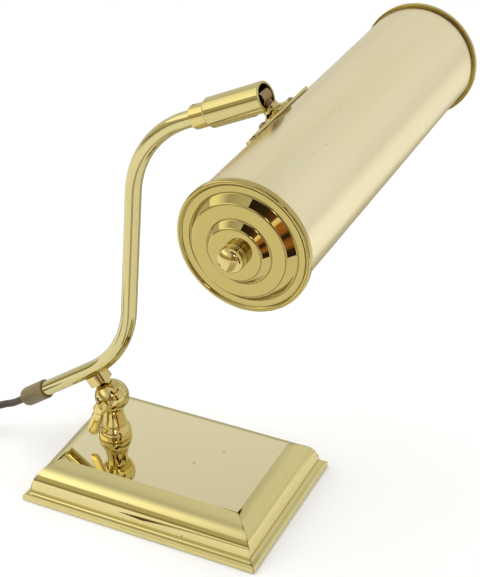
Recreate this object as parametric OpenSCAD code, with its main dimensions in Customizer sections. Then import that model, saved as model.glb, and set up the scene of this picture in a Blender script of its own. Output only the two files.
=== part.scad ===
// Brass desk lamp with a weighted base, a bent tilting arm and a turning, tilting cylinder shade.
// Millimetres, +Z up. The origin is the centre of the base's underside, +X is the base's long
// side towards the shade, and the shade's axis runs along Y.

/* [Base] */
// Length of the base at its lip
base_len = 200; // [190:1:215]
// Width of the base at its lip
base_wid = 136; // [128:1:145]
// Height of the base's top face
base_top = 31.6; // [30:0.2:34]
// How far the top face is set in from the lip on every side
top_inset = 24; // [20:1:27]
// Wall of the stamped cover
cover_wall = 1.2; // [0.8:0.1:1.5]

/* [Column] */
// Distance of the column behind the base's centre
column_back = 53.5; // [48:0.5:58]
// Diameter of the domed foot
foot_d = 26.6; // [24:0.2:28]
// Height of the ball's centre
ball_height = 69; // [67:0.5:72]
// Diameter of the slotted ball
ball_d = 27; // [26:0.5:28]

/* [Arm] */
// Diameter of the arm's tube
tube_d = 12; // [11.8:0.1:12.2]
// Wall of the tube
tube_wall = 1; // [0.8:0.1:1.1]
// Slope of the tube's rear stretch
rear_slope = 35.5; // [34:0.5:37]
// Slope of the tube's rising stretch
riser_slope = 83.6; // [82:0.2:85]
// Slope of the head's axis
head_slope = 24.7; // [23:0.1:26]
// Distance between the corners where the tube's straight stretches would meet
riser_len = 188; // [184:1:192]
// Radius of the lower bend's centre line
lower_bend_r = 90; // [80:1:92]
// Radius of the upper bend's centre line
upper_bend_r = 80; // [72:1:84]

/* [Head] */
// Diameter of the swivel housing
housing_d = 21; // [20.5:0.1:22]
// Distance from the shade's axis to the knuckle pin
shade_reach = 57; // [56.5:0.1:57.5]
// Direction from the pin to the shade's axis, below the horizontal
shade_drop = 39; // [36:1:42]

/* [Shade] */
// Outside diameter of the rolled sheet
sheet_d = 82; // [81:0.5:82.5]
// Thickness of the sheet
sheet_wall = 0.8; // [0.6:0.1:1]
// Diameter of the end caps at their rims
cap_d = 86; // [85.6:0.2:87]
// Distance from the arm's plane to the front cap's rim
front_reach = 119; // [112:1:125]
// Distance from the arm's plane to the rear cap's rim
rear_reach = 178; // [170:1:185]

/* [Cord] */
// Diameter of the cord
cord_d = 6; // [5.8:0.1:6]

/* [Hidden] */

fine = 96;
running_gap = 0.05;
face_gap = 0.1;

brass = [0.83, 0.76, 0.45];
pale_brass = [0.85, 0.81, 0.62];
steel = [0.6, 0.6, 0.62];
iron = [0.25, 0.25, 0.26];
brown = [0.45, 0.38, 0.24];
bakelite = [0.12, 0.09, 0.07];
felt_green = [0.10, 0.22, 0.14];

// Directions and points in the arm's plane are [x, z] pairs.
function heading(a) = [cos(a), sin(a)];
function left_of(a) = [-sin(a), cos(a)];

column_x = -column_back;
ball_r = ball_d / 2;
tube_r = tube_d / 2;
bore_r = tube_r - tube_wall;

// Corners of the arm's centre line, and the lengths that the bends take from each side of a corner.
lower_corner = [-36, 114];
upper_corner = lower_corner + riser_len * heading(riser_slope);
rear_len = 100;
rear_end = lower_corner - rear_len * heading(rear_slope);
lower_cut = lower_bend_r * tan((riser_slope - rear_slope) / 2);
upper_cut = upper_bend_r * tan((riser_slope - head_slope) / 2);
lower_centre = lower_corner - lower_cut * heading(rear_slope) + lower_bend_r * left_of(rear_slope);
upper_centre = upper_corner - upper_cut * heading(riser_slope) - upper_bend_r * left_of(riser_slope);
bend_steps = 14;
arm_sides = 28;

// Places along the head's axis, measured from the upper corner.
collar_start = 52;
collar_end = 64;
housing_start = collar_end + 0.3;
tube_end = collar_end - 1;
pin_at = 105.2;
mouth_at = pin_at + 4.3;
housing_r = housing_d / 2;
housing_bore_r = housing_r - 2;
pin_point = upper_corner + pin_at * heading(head_slope);
shade_point = pin_point + shade_reach * heading(-shade_drop);
bracket_angle = 180 - shade_drop;

sheet_r = sheet_d / 2;
cap_r = cap_d / 2;

// Heights of the base's layers.
felt_h = 1.5;
cover_low = 0.6;
lip_top = 5.4;
mould_low = 8;
mould_inset = 5.2;
mould_turn = 72;

// The tube's tail bushing, the saddle on the column and the thumb screw.
bushing_r = 7.8;
bushing_len = 27;
bushing_lap = 3;
saddle_r = 9.5;
saddle_gap = 0.8;
tongue_t = 4.8;
slot_w = 5.2;
screw_r = 2.5;
ear_len = 25;
ear_w = 9.6;
ear_t = 3.6;
ear_lean = 20;

// The cord's coil: turns a cord's width apart, four in the lower layer and three in the upper.
cord_r = cord_d / 2;
coil_centre = [-232, -75];
coil_outer = 48;
coil_inner = 24;

// ---------- helpers ----------

// Moves children into the frame whose X axis runs along the head, from the upper corner.
module on_head() {
    translate([upper_corner[0], 0, upper_corner[1]]) rotate([0, -head_slope, 0]) children();
}

// Moves children into the frame at the shade's axis whose X axis points out to the bracket.
module on_bracket() {
    translate([shade_point[0], 0, shade_point[1]]) rotate([0, -bracket_angle, 0]) children();
}

module on_shade() {
    translate([shade_point[0], 0, shade_point[1]]) children();
}

// Frame at the tube's rear end, X pointing out of the tube.
module on_rear_end() {
    translate([rear_end[0], 0, rear_end[1]]) rotate([0, 180 - rear_slope, 0]) children();
}

// Frame at the ball's centre, X pointing to the saddle.
module on_saddle() {
    translate([column_x, 0, ball_height]) rotate([0, -(rear_slope + 90), 0]) children();
}

// A cylinder along X from x0 to x1.
module bar(r, x0, x1, sides = fine) {
    translate([x0, 0, 0]) rotate([0, 90, 0]) cylinder(r = r, h = x1 - x0, $fn = sides);
}

// A turned piece along X, from [x, r] points.
module turned(points) {
    rotate([0, 90, 0]) rotate_extrude($fn = fine) polygon([for (p = points) [p[1], p[0]]]);
}

// A quarter bend of the arm between two angles seen from its centre.
module bend(centre, bend_r, a0, a1, r) {
    translate([centre[0], 0, centre[1]])
        rotate([90, 0, 0])
            rotate([0, 0, a0])
                rotate_extrude(angle = a1 - a0, $fn = 180)
                    translate([bend_r, 0]) circle(r = r, $fn = 48);
}

// A straight stretch of the arm from one [x, z] point along an angle.
module run(from, angle, len, r) {
    translate([from[0], 0, from[1]]) rotate([0, -angle, 0]) bar(r, 0, len);
}

// The arm's lower straight stretch and bend, for cutting its seat.
module lower_arm(r) {
    run(rear_end, rear_slope, rear_len - lower_cut, r);
    bend(lower_centre, lower_bend_r, rear_slope - 90, riser_slope - 90, r);
}

// Points on a bend, as seen from its centre, from one angle to another.
function bend_points(centre, bend_r, a0, a1) =
    [for (i = [0:bend_steps]) centre + bend_r * heading(a0 + (a1 - a0) * i / bend_steps)];

// Points of the arm's centre line in space. extra_rear and head_to set where it ends.
function arm_line(extra_rear, head_to) = [
    for (p = concat(
        [rear_end - extra_rear * heading(rear_slope)],
        bend_points(lower_centre, lower_bend_r, rear_slope - 90, riser_slope - 90),
        bend_points(upper_centre, upper_bend_r, riser_slope + 90, head_slope + 90),
        [upper_corner + head_to * heading(head_slope)]
    )) [p[0], 0, p[1]]
];

function unit(v) = v / norm(v);

// Corners of a tube round a path: a ring of them at each point, square to the path there.
// side_hint is a direction that the path never takes.
function rings(points, r, sides, side_hint) =
    let (n = len(points))
        [for (i = [0:n - 1])
            let (ahead = unit(points[min(i + 1, n - 1)] - points[max(i - 1, 0)]),
                 u = unit(cross(ahead, side_hint)),
                 v = cross(u, ahead))
                for (k = [0:sides - 1])
                    let (a = (k + 0.5) * 360 / sides)
                        points[i] + r * (cos(a) * u + sin(a) * v)];

// Faces between neighbouring rings, the first ring's corners starting at index first.
function wall_faces(n, sides, first, inward) = [
    for (i = [0:n - 2])
        for (k = [0:sides - 1])
            let (a = first + i * sides,
                 j = (k + 1) % sides,
                 face = [a + k, a + j, a + sides + j, a + sides + k])
                inward ? [face[3], face[2], face[1], face[0]] : face
];

// A solid rod through the given points.
module rod_through(points, r, sides, side_hint = [0, 0, 1]) {
    n = len(points);
    ends = [[for (k = [sides - 1:-1:0]) k], [for (k = [0:sides - 1]) (n - 1) * sides + k]];
    polyhedron(points = rings(points, r, sides, side_hint),
               faces = concat(wall_faces(n, sides, 0, false), ends));
}

// A pipe through the given points, open at both ends.
module pipe_through(points, r, bore, sides, side_hint = [0, 0, 1]) {
    n = len(points);
    last = (n - 1) * sides;
    inner = n * sides;
    rims = [
        for (k = [0:sides - 1])
            let (j = (k + 1) % sides)
                each [[k, inner + k, inner + j, j],
                      [last + j, inner + last + j, inner + last + k, last + k]]
    ];
    polyhedron(points = concat(rings(points, r, sides, side_hint), rings(points, bore, sides, side_hint)),
               faces = concat(wall_faces(n, sides, 0, false), wall_faces(n, sides, inner, true), rims));
}

// ---------- base ----------

// Outline of one side of the base as [inset, height], from the foot of the lip to the top edge.
function side_outline(steps) = concat(
    [[0, cover_low], [0, lip_top - 2]],
    [for (i = [1:4]) [2 - 2 * cos(i * 22.5), lip_top - 2 + 2 * sin(i * 22.5)]],
    [[3.6, lip_top], [mould_inset - 0.4, mould_low - 0.6]],
    [for (i = [0:steps])
        let (a = i * mould_turn / steps)
            [mould_inset + (top_inset - mould_inset) * (1 - cos(a)) / (1 - cos(mould_turn)),
             mould_low + (base_top - mould_low) * sin(a) / sin(mould_turn)]]
);

// Both sides of a block of the given size, grown inwards by a wall.
function block_outline(size, wall, floor_z) =
    let (side = side_outline(12))
    concat(
        [[-size / 2 + wall, floor_z]],
        [for (p = side) [-size / 2 + p[0] + wall, p[1] - wall]],
        [for (i = [len(side) - 1:-1:0]) [size / 2 - side[i][0] - wall, side[i][1] - wall]],
        [[size / 2 - wall, floor_z]]
    );

// A mitred block: the outline run along both sides, kept where the two agree.
module mitred(wall, floor_z) {
    intersection() {
        rotate([90, 0, 0])
            linear_extrude(height = 2 * base_wid, center = true)
                polygon(block_outline(base_len, wall, floor_z));
        rotate([90, 0, 90])
            linear_extrude(height = 2 * base_len, center = true)
                polygon(block_outline(base_wid, wall, floor_z));
    }
}

module base_cover() {
    color(brass)
        difference() {
            mitred(0, cover_low);
            mitred(cover_wall, cover_low - 6);
            translate([column_x, 0, 0]) cylinder(r = 4.2, h = 60, $fn = fine);
        }
}

weight_low = 9;
weight_len = 140;
weight_wid = 80;

module base_weight() {
    color(iron)
        difference() {
            translate([-weight_len / 2, -weight_wid / 2, weight_low])
                cube([weight_len, weight_wid, base_top - cover_wall - face_gap - weight_low]);
            translate([column_x, 0, 0]) cylinder(r = 4.2, h = 60, $fn = fine);
        }
}

felt_margin = 2.5;

module felt_pad() {
    color(felt_green)
        translate([-base_len / 2 + felt_margin, -base_wid / 2 + felt_margin, 0])
            cube([base_len - 2 * felt_margin, base_wid - 2 * felt_margin, felt_h]);
}

// ---------- column ----------

foot_h = 12.3;

module column_foot() {
    low = base_top + face_gap;
    r = foot_d / 2;
    color(brass)
        translate([column_x, 0, 0])
            rotate_extrude($fn = fine)
                polygon(concat(
                    [[4.2, low], [r - 0.6, low]],
                    [for (a = [0:9:72]) [r - 3.6 * (1 - cos(a)), low + 1 + 9 * sin(a)]],
                    [[9.7, low + foot_h - 1.2], [9.7, low + foot_h], [4.2, low + foot_h]]
                ));
}

post_low = base_top + foot_h + 2 * face_gap;

module pivot_post() {
    neck_top = ball_height - sqrt(ball_r * ball_r - 8 * 8);
    color(brass)
        difference() {
            union() {
                translate([column_x, 0, 0])
                    rotate_extrude($fn = fine)
                        polygon(concat(
                            [[0, post_low], [9.2, post_low], [9.7, post_low + 0.5]],
                            [for (i = [0:8])
                                let (t = i / 8)
                                    [8 + 1.7 * (1 - t) * (1 - t), post_low + 1 + t * (neck_top - post_low - 1)]],
                            [[0, neck_top + 1]]
                        ));
                translate([column_x, 0, ball_height]) sphere(r = ball_r, $fn = fine);
            }
            translate([column_x, 0, 0]) cylinder(r = 4 + running_gap, h = 54, $fn = fine);
            translate([column_x, slot_w / 2, ball_height])
                rotate([90, 0, 0]) cylinder(r = ball_r + 0.2, h = slot_w, $fn = fine);
            translate([column_x, 20, ball_height])
                rotate([90, 0, 0]) cylinder(r = screw_r + running_gap, h = 40, $fn = fine);
        }
}

module base_rod() {
    color(steel) translate([column_x, 0, 2.4]) cylinder(r = 4, h = 51, $fn = fine);
}

washer_h = 1.6;

module base_washer() {
    color(steel)
        difference() {
            translate([column_x, 0, weight_low - washer_h]) cylinder(r = 11, h = washer_h - 0.02, $fn = fine);
            translate([column_x, 0, 0]) cylinder(r = 4.2, h = 20, $fn = fine);
        }
}

module base_nut() {
    color(steel)
        difference() {
            translate([column_x, 0, 2.6]) cylinder(r = 7.5, h = 4.7, $fn = 6);
            translate([column_x, 0, 0]) cylinder(r = 4.05, h = 20, $fn = fine);
        }
}

// The screw that clamps the ball's cheeks on the tongue, with one hanging ear.
module thumb_screw() {
    color(brass)
        translate([column_x, 0, ball_height])
            rotate([0, ear_lean, 0]) {
                rotate([90, 0, 0]) translate([0, 0, -12.4]) cylinder(r = screw_r, h = 30, $fn = fine);
                rotate([90, 0, 0]) translate([0, 0, 13.9]) cylinder(r = 5, h = 8.1, $fn = fine);
                translate([0, -16.5, -ear_len]) rotate([90, 0, 0]) cylinder(r = ear_w / 2, h = ear_t, $fn = fine);
                translate([-ear_w / 2, -16.5 - ear_t, -ear_len]) cube([ear_w, ear_t, ear_len]);
            }
}

// ---------- arm ----------

tube_from_ball = 26;

// The eye that turns in the ball's slot, and the saddle that carries the tube.
module tilt_tongue() {
    color(brass)
        difference() {
            union() {
                on_saddle() {
                    translate([0, tongue_t / 2, 0])
                        rotate([90, 0, 0]) cylinder(r = ball_r - 0.3, h = tongue_t, $fn = fine);
                    translate([0, -tongue_t / 2, -7]) cube([ball_r + saddle_gap + 1, tongue_t, 14]);
                    bar(saddle_r, ball_r + saddle_gap, 22.6);
                }
            }
            lower_arm(tube_r + 0.02);
            translate([column_x, 20, ball_height])
                rotate([90, 0, 0]) cylinder(r = screw_r + running_gap, h = 40, $fn = fine);
        }
}

module arm_tube() {
    color(brass)
        pipe_through(arm_line(0, tube_end), tube_r, bore_r, arm_sides, [0, 1, 0]);
}

// Plastic bushing that closes the tube's rear end round the cord.
module cord_bushing() {
    color(brown)
        on_rear_end()
            difference() {
                turned(concat(
                    [[-bushing_lap, 0], [-bushing_lap, bushing_r - 0.6], [-bushing_lap + 0.6, bushing_r]],
                    [for (a = [0:15:90])
                        [bushing_len - bushing_lap - 5 + 5 * sin(a), bushing_r - 3.6 * (1 - cos(a))]],
                    [[bushing_len - bushing_lap, 0]]
                ));
                bar(tube_r + 0.02, -bushing_lap - 1, 0);
                bar(cord_r + running_gap, -1, bushing_len);
            }
}

// The cord inside the bushing, the tube and the swivel.
module arm_flex() {
    color(brown)
        rod_through(arm_line(bushing_len - bushing_lap, 71), cord_r - 0.1, 12, [0, 1, 0]);
}

module swivel_collar() {
    color(brass)
        on_head()
            difference() {
                turned([[collar_start, 0], [collar_start, 8], [collar_start + 0.5, 8.5],
                        [collar_end, 8.5], [collar_end, 0]]);
                bar(tube_r + 0.02, collar_start - 1, tube_end);
                bar(5 + 0.02, collar_start, collar_end + 1);
                translate([collar_start + 3, 0, 0]) cylinder(r = 1.55, h = 12, $fn = 48);
            }
}

module collar_screw() {
    color(iron)
        on_head() translate([collar_start + 3, 0, tube_r + 0.06]) cylinder(r = 1.5, h = 2.3, $fn = 48);
}

// Hollow journal fixed in the tube's end, on which the housing turns.
module swivel_stub() {
    color(steel)
        on_head()
            difference() {
                union() {
                    bar(bore_r - 0.05, collar_start + 2, tube_end + 1);
                    bar(5, tube_end + 0.05, 72);
                }
                bar(cord_r + 0.2, collar_start, 73);
            }
}

housing_floor = 3;

module stub_nut() {
    color(steel)
        on_head()
            difference() {
                bar(7.4, housing_start + housing_floor + 0.3, housing_start + housing_floor + 3, 6);
                bar(5.02, 60, 75);
            }
}

// ---------- head ----------

slot_half = 6.3;
slot_back = 7.6;

// Turned tube, open at its mouth and slotted underneath, so the shade's neck can fold down.
module swivel_housing() {
    color(brass)
        on_head()
            difference() {
                turned([[housing_start, 0], [housing_start, housing_r - 1.6], [housing_start + 1.6, housing_r],
                        [mouth_at - 0.4, housing_r], [mouth_at, housing_r - 0.4], [mouth_at, 0]]);
                bar(housing_bore_r, housing_start + housing_floor, mouth_at + 1);
                bar(5 + running_gap, housing_start - 1, mouth_at);
                translate([pin_at - slot_back, -slot_half, -housing_r - 1])
                    cube([slot_back + 20, 2 * slot_half, housing_r + 1 - 3]);
                translate([pin_at, 20, 0]) rotate([90, 0, 0]) cylinder(r = 2.02, h = 40, $fn = fine);
            }
}

module knuckle_pin() {
    color(brass)
        on_head() translate([pin_at, housing_r - 0.3, 0]) rotate([90, 0, 0])
            cylinder(r = 2, h = housing_d - 0.6, $fn = fine);
}

// ---------- shade's neck and bracket, in the frame that points out to the bracket ----------

strip_t = 1.6;
strip_w = 12;
strip_len = 84;
flange_t = 1;
screw_pitch = 40;
strip_in = sheet_r + face_gap;
strip_out = strip_in + strip_t;
flange_in = strip_out + face_gap;
neck_foot = flange_in + flange_t + 0.02;
nipple_r = 4;
nipple_end = 35.5;

// Eye that turns on the pin inside the housing, drawn out into a threaded, hollow nipple.
module knuckle_link() {
    color(brass)
        on_bracket()
            difference() {
                union() {
                    translate([shade_reach, 5.8, 0]) rotate([90, 0, 0]) cylinder(r = 5.6, h = 11.6, $fn = fine);
                    bar(nipple_r, nipple_end, shade_reach);
                    for (x = [neck_foot + 6.3:1.1:shade_reach - 5.4]) bar(nipple_r + 0.45, x, x + 0.55);
                }
                translate([shade_reach, 20, 0]) rotate([90, 0, 0]) cylinder(r = 2 + running_gap, h = 40, $fn = fine);
                bar(2.6, nipple_end - 1, shade_reach - 4);
            }
}

neck_h = 5.6;

// Flared neck between the nipple's thread and the flange.
module tulip_neck() {
    color(brass)
        on_bracket()
            difference() {
                turned(concat(
                    [[neck_foot, 0], [neck_foot, 11]],
                    [for (t = [0:0.125:1]) [neck_foot + 0.3 + t * 3.2, 6 + 5 * (1 - t) * (1 - t)]],
                    [[neck_foot + neck_h - 0.4, 6], [neck_foot + neck_h, 5.6], [neck_foot + neck_h, 0]]
                ));
                bar(nipple_r + 0.02, neck_foot - 1, neck_foot + 10);
            }
}

module flange_washer() {
    color(brass)
        on_bracket()
            difference() {
                bar(11, flange_in, flange_in + flange_t);
                bar(nipple_r + 0.1, flange_in - 1, flange_in + 3);
            }
}

module bracket_strip() {
    color(brass)
        on_bracket()
            difference() {
                union() {
                    translate([strip_in, -strip_len / 2 + strip_w / 2, -strip_w / 2])
                        cube([strip_t, strip_len - strip_w, strip_w]);
                    for (side = [-1, 1])
                        translate([0, side * (strip_len - strip_w) / 2, 0]) bar(strip_w / 2, strip_in, strip_out);
                }
                bar(nipple_r + 0.1, strip_in - 1, strip_out + 1);
                for (side = [-1, 1])
                    translate([0, side * screw_pitch / 2, 0]) bar(1.6, strip_in - 1, strip_out + 1);
            }
}

module bracket_screws() {
    head_r = 3.4;
    head_h = 2.4;
    seat = strip_out + 0.02;
    color(brass)
        on_bracket()
            for (side = [-1, 1])
                translate([0, side * screw_pitch / 2, 0])
                    turned(concat(
                        [[35.6, 0], [35.6, 1.5], [seat, 1.5]],
                        [for (a = [0:15:90]) [seat + head_h * sin(a), head_r * cos(a)]]
                    ));
}

module bracket_nuts() {
    color(steel)
        on_bracket()
            for (side = [-1, 1])
                translate([0, side * screw_pitch / 2, 0])
                    difference() {
                        bar(3.1, 37.4, 39.8, 6);
                        bar(1.52, 30, 45);
                    }
}

module nipple_nut() {
    color(steel)
        on_bracket()
            difference() {
                bar(6.5, 36.4, 39.4, 6);
                bar(nipple_r + 0.02, 30, 45);
            }
}

// ---------- shade ----------

// The sheet's section: a round tube with a flat band beside each edge of its open underside.
band_from = 18;
band_turn = 33.5;
band_mid = band_from + band_turn / 2;
open_mid = 101;
sheet_front = -front_reach + 1;
sheet_rear = rear_reach - 1;

// The round of the given radius, flattened on both bands by the same distance from the round.
module banded(r) {
    flat = sheet_r * cos(band_turn / 2) - (sheet_r - r);
    far_band = 2 * open_mid - band_mid;
    intersection() {
        circle(r = r, $fn = 144);
        rotate([0, 0, -band_mid]) translate([flat - 200, -100]) square([200, 200]);
        rotate([0, 0, -far_band]) translate([flat - 200, -100]) square([200, 200]);
    }
}

// The wedge that is left open below, between the two bands.
module underside_wedge() {
    a = -(band_from + band_turn);
    b = -(2 * open_mid) - a;
    polygon([[0, 0], 90 * heading(a), 120 * heading((3 * a + b) / 4), 120 * heading((a + b) / 2),
             120 * heading((a + 3 * b) / 4), 90 * heading(b)]);
}

module shade_shell() {
    color(pale_brass)
        difference() {
            on_shade()
                translate([0, sheet_rear, 0])
                    rotate([90, 0, 0])
                        linear_extrude(height = sheet_rear - sheet_front)
                            difference() {
                                banded(sheet_r);
                                banded(sheet_r - sheet_wall);
                                underside_wedge();
                            }
            on_bracket() {
                bar(nipple_r + 0.2, 30, 50);
                for (side = [-1, 1]) translate([0, side * screw_pitch / 2, 0]) bar(1.7, 30, 50);
            }
        }
}

// Places along a cap's axis, measured outwards from its rim.
skirt_len = 3;
step_h = 5.6;
dish_top = 10.3;
cap_wall = 0.8;

// Outside of a cap as [radius, height], from the axis to the skirt's free edge.
cap_outside = concat(
    [[0, dish_top], [16.9, dish_top], [20.8, step_h], [30.3, step_h], [34.9, 0], [39.4, 0]],
    [for (a = [150:-30:0]) [cap_r - 1.6 + 1.6 * cos(a), -0.4 + 1.6 * sin(a)]],
    [[cap_r, -skirt_len]]
);

// The same line moved in by the wall, back from the skirt to the axis.
cap_inside = [
    [cap_r - cap_wall, -skirt_len], [cap_r - cap_wall, -1.2], [39.4, -cap_wall], [34.5, -cap_wall],
    [29.9, step_h - cap_wall], [20.4, step_h - cap_wall], [16.5, dish_top - cap_wall],
    [0, dish_top - cap_wall]
];

module cap() {
    difference() {
        rotate_extrude($fn = 144) polygon(concat(cap_outside, cap_inside));
        cylinder(r = screw_r + 0.1, h = 30, $fn = fine);
    }
}

module on_front_cap() {
    on_shade() translate([0, -front_reach, 0]) rotate([90, 0, 0]) children();
}

module on_rear_cap() {
    on_shade() translate([0, rear_reach, 0]) rotate([-90, 0, 0]) children();
}

module front_cap() {
    color(brass) on_front_cap() cap();
}

module rear_cap() {
    color(brass) on_rear_cap() cap();
}

// A domed knob with two fine grooves, on a stud.
module knob(stud_low) {
    r = 8.2;
    low = dish_top + face_gap;
    rotate_extrude($fn = fine)
        polygon(concat(
            [[0, low], [r, low], [r, low + 1.6], [r - 0.3, low + 1.9], [r, low + 2.2],
             [r, low + 3.2], [r - 0.3, low + 3.5], [r, low + 3.8]],
            [for (a = [0:10:90]) [r * cos(a), low + 5.4 + 5.2 * sin(a)]]
        ));
    translate([0, 0, stud_low]) cylinder(r = screw_r, h = dish_top + 1 - stud_low, $fn = fine);
}

module front_finial() {
    color(brass) on_front_cap() knob(3);
}

module finial_nut() {
    color(steel)
        on_front_cap()
            difference() {
                translate([0, 0, 5.6]) cylinder(r = 4.6, h = 3.8, $fn = 6);
                cylinder(r = screw_r + 0.02, h = 30, $fn = fine);
            }
}

module switch_knob() {
    color(brass) on_rear_cap() knob(-8);
}

// ---------- lampholder and bulb, placed along the shade's axis ----------

block_low = -15;
holder_len = 46;
holder_r = 13.5;
socket_r = 7.2;
holder_low = block_low - 0.1 - holder_len;
bulb_top = holder_low - 1;
glass_len = 98;
glass_r = 12.5;

module switch_block() {
    color(bakelite)
        on_rear_cap()
            difference() {
                translate([0, 0, block_low]) cylinder(r = 12, h = 9.4 - block_low, $fn = fine);
                translate([0, 0, -10]) cylinder(r = screw_r + running_gap, h = 30, $fn = fine);
            }
}

module lampholder() {
    color(bakelite)
        on_rear_cap()
            difference() {
                rotate_extrude($fn = fine)
                    polygon([[0, holder_low], [holder_r - 1, holder_low], [holder_r, holder_low + 1],
                             [holder_r, holder_low + 14], [holder_r - 1.2, holder_low + 15],
                             [holder_r - 1.2, block_low - 0.1], [0, block_low - 0.1]]);
                translate([0, 0, holder_low - 1]) cylinder(r = socket_r, h = 27, $fn = fine);
            }
}

module bulb_cap() {
    color(steel)
        on_rear_cap()
            translate([0, 0, bulb_top]) {
                cylinder(r = 6.9, h = 18, $fn = fine);
                translate([0, 0, 18]) cylinder(r = 5, h = 3, $fn = fine);
                translate([0, 0, 21]) cylinder(r = 2.5, h = 1.4, $fn = fine);
            }
}

// Tubular glass with a domed end, open where it meets its screw cap.
module bulb_glass() {
    wall = 0.9;
    top = bulb_top - face_gap;
    low = top - glass_len;
    color([0.95, 0.95, 0.9, 0.35])
        on_rear_cap()
            rotate_extrude($fn = fine)
                polygon(concat(
                    [[6.6, top], [7, top - 2], [glass_r, top - 10]],
                    [for (a = [0:10:90]) [glass_r * cos(a), low + glass_r - glass_r * sin(a)]],
                    [for (a = [90:-10:0])
                        [(glass_r - wall) * cos(a), low + glass_r - (glass_r - wall) * sin(a)]],
                    [[glass_r - wall, top - 10.4], [7 - wall, top - 2.4], [6.6 - wall, top]]
                ));
}

module bulb_filament() {
    top = bulb_top - face_gap;
    color(steel)
        on_rear_cap() {
            translate([0, 0, top - 18]) cylinder(r = 2.6, h = 17.9, $fn = 32);
            for (side = [-1, 1])
                translate([side * 1.8, 0, top - 74]) cylinder(r = 0.35, h = 57, $fn = 16);
            translate([-1.8, 0, top - 74]) rotate([0, 90, 0]) cylinder(r = 0.35, h = 3.6, $fn = 16);
        }
}

// ---------- cords ----------

cord_exit = rear_end - (bushing_len - bushing_lap + 0.05) * heading(rear_slope);

// From the bushing down to the surface and round into the coil.
lead_points = [
    [cord_exit[0], 0, cord_exit[1]], [-149, 0, 33.5], [-160, -0.5, 28.5], [-170, -4, 24],
    [-177.5, -11, 18.5], [-182, -21, 12.5], [-183.8, -33, 7], [-184, -46, 4], [-184, -60, 3], [-184, -75, 3]
];

// From the top of the coil over its outer turn, down beside it and on to the plug.
tail_points = [
    [-182.5, -82, 9], [-181.5, -92, 9], [-185, -103, 8.6], [-193, -113.5, 7.4], [-204, -122, 5.8],
    [-217, -127.5, 4.2], [-231, -131, 3.2], [-245, -133, 3.2], [-258, -133, 5], [-270, -130, 7]
];

module cord_lead() {
    color(brown) rod_through(lead_points, cord_r, 8);
}

module cord_tail() {
    color(brown) rod_through(tail_points, cord_r, 8);
}

module cord_coil() {
    color(brown)
        translate([coil_centre[0], coil_centre[1], 0])
            rotate_extrude($fn = 72)
                polygon([
                    [coil_inner - cord_r, 0], [coil_outer + cord_r, 0], [coil_outer + cord_r, cord_d],
                    [coil_outer - cord_r, cord_d], [coil_outer - cord_r, 2 * cord_d],
                    [coil_inner - cord_r, 2 * cord_d]
                ]);
}

tie_w = 8;
tie_t = 0.9;

// Band round all the turns, on the side away from the lamp.
module cord_tie() {
    inner = coil_inner - cord_r;
    outer = coil_outer + cord_r;
    top = 2 * cord_d;
    color(bakelite)
        translate([coil_centre[0], coil_centre[1], 0])
            rotate([0, 0, 150])
                rotate([90, 0, 0])
                    linear_extrude(height = tie_w, center = true)
                        difference() {
                            polygon([[inner - tie_t, 0], [outer + tie_t, 0], [outer + tie_t, cord_d + tie_t],
                                     [outer - cord_d + tie_t, top + tie_t], [inner - tie_t, top + tie_t]]);
                            polygon([[inner, tie_t], [outer, tie_t], [outer, cord_d],
                                     [outer - cord_d, top], [inner, top]]);
                        }
}

plug_len = 34;
plug_wid = 35;
plug_t = 13.6;
pin_r = 2;
pin_len = 19;
pin_pitch = 19;

// Frame at the cord's far end, X pointing along the plug.
module on_plug() {
    last = tail_points[len(tail_points) - 1];
    step = last - tail_points[len(tail_points) - 2];
    translate([last[0], last[1], plug_t / 2 + 0.2]) rotate([0, 0, atan2(step[1], step[0])]) children();
}

module plug_body() {
    color(brown)
        on_plug()
            translate([0.05, 0, -plug_t / 2])
                linear_extrude(height = plug_t)
                    polygon([[0, -5], [6, -6], [14, -plug_wid / 2 + 2], [18, -plug_wid / 2],
                             [plug_len, -plug_wid / 2], [plug_len, plug_wid / 2], [18, plug_wid / 2],
                             [14, plug_wid / 2 - 2], [6, 6], [0, 5]]);
}

module plug_pins() {
    color(steel)
        on_plug()
            for (side = [-1, 1])
                translate([0, side * pin_pitch / 2, 0]) bar(pin_r, plug_len + 0.07, plug_len + pin_len);
}

// The cord's last length, from the nipple along the shade's wall to the side of the switch block.
module shade_flex() {
    start = nipple_end - 0.1;
    wall_at = start - 4.4;
    turn_r = 12;
    turn_at = rear_reach - 18;
    color(brown)
        on_bracket()
            rod_through(concat(
                [[start, 0, 0], [start - 2.5, 3, 0], [start - 4, 10, 0]],
                [for (i = [1:8]) [wall_at, 10 + i * (turn_at - 10) / 9, 0]],
                [for (a = [0:22.5:90]) [wall_at - turn_r * (1 - cos(a)), turn_at + turn_r * sin(a), 0]],
                [[12.2, turn_at + turn_r, 0]]
            ), cord_r - 0.5, 8);
}

base_cover();
base_weight();
felt_pad();
column_foot();
pivot_post();
base_rod();
base_washer();
base_nut();
thumb_screw();
tilt_tongue();
arm_tube();
cord_bushing();
arm_flex();
swivel_collar();
collar_screw();
swivel_stub();
stub_nut();
swivel_housing();
knuckle_pin();
knuckle_link();
tulip_neck();
flange_washer();
bracket_strip();
bracket_screws();
bracket_nuts();
nipple_nut();
shade_shell();
front_cap();
rear_cap();
front_finial();
finial_nut();
switch_knob();
switch_block();
lampholder();
bulb_cap();
bulb_glass();
bulb_filament();
shade_flex();
cord_lead();
cord_coil();
cord_tail();
cord_tie();
plug_body();
plug_pins();
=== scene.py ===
"""A polished brass banker lamp: its looks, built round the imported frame. Lengths are in millimetres
where they describe a shape, and each shape is placed in metres, in the frame of the CAD."""

import math

import bmesh
import bpy
from mathutils import Matrix, Vector, noise


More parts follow.
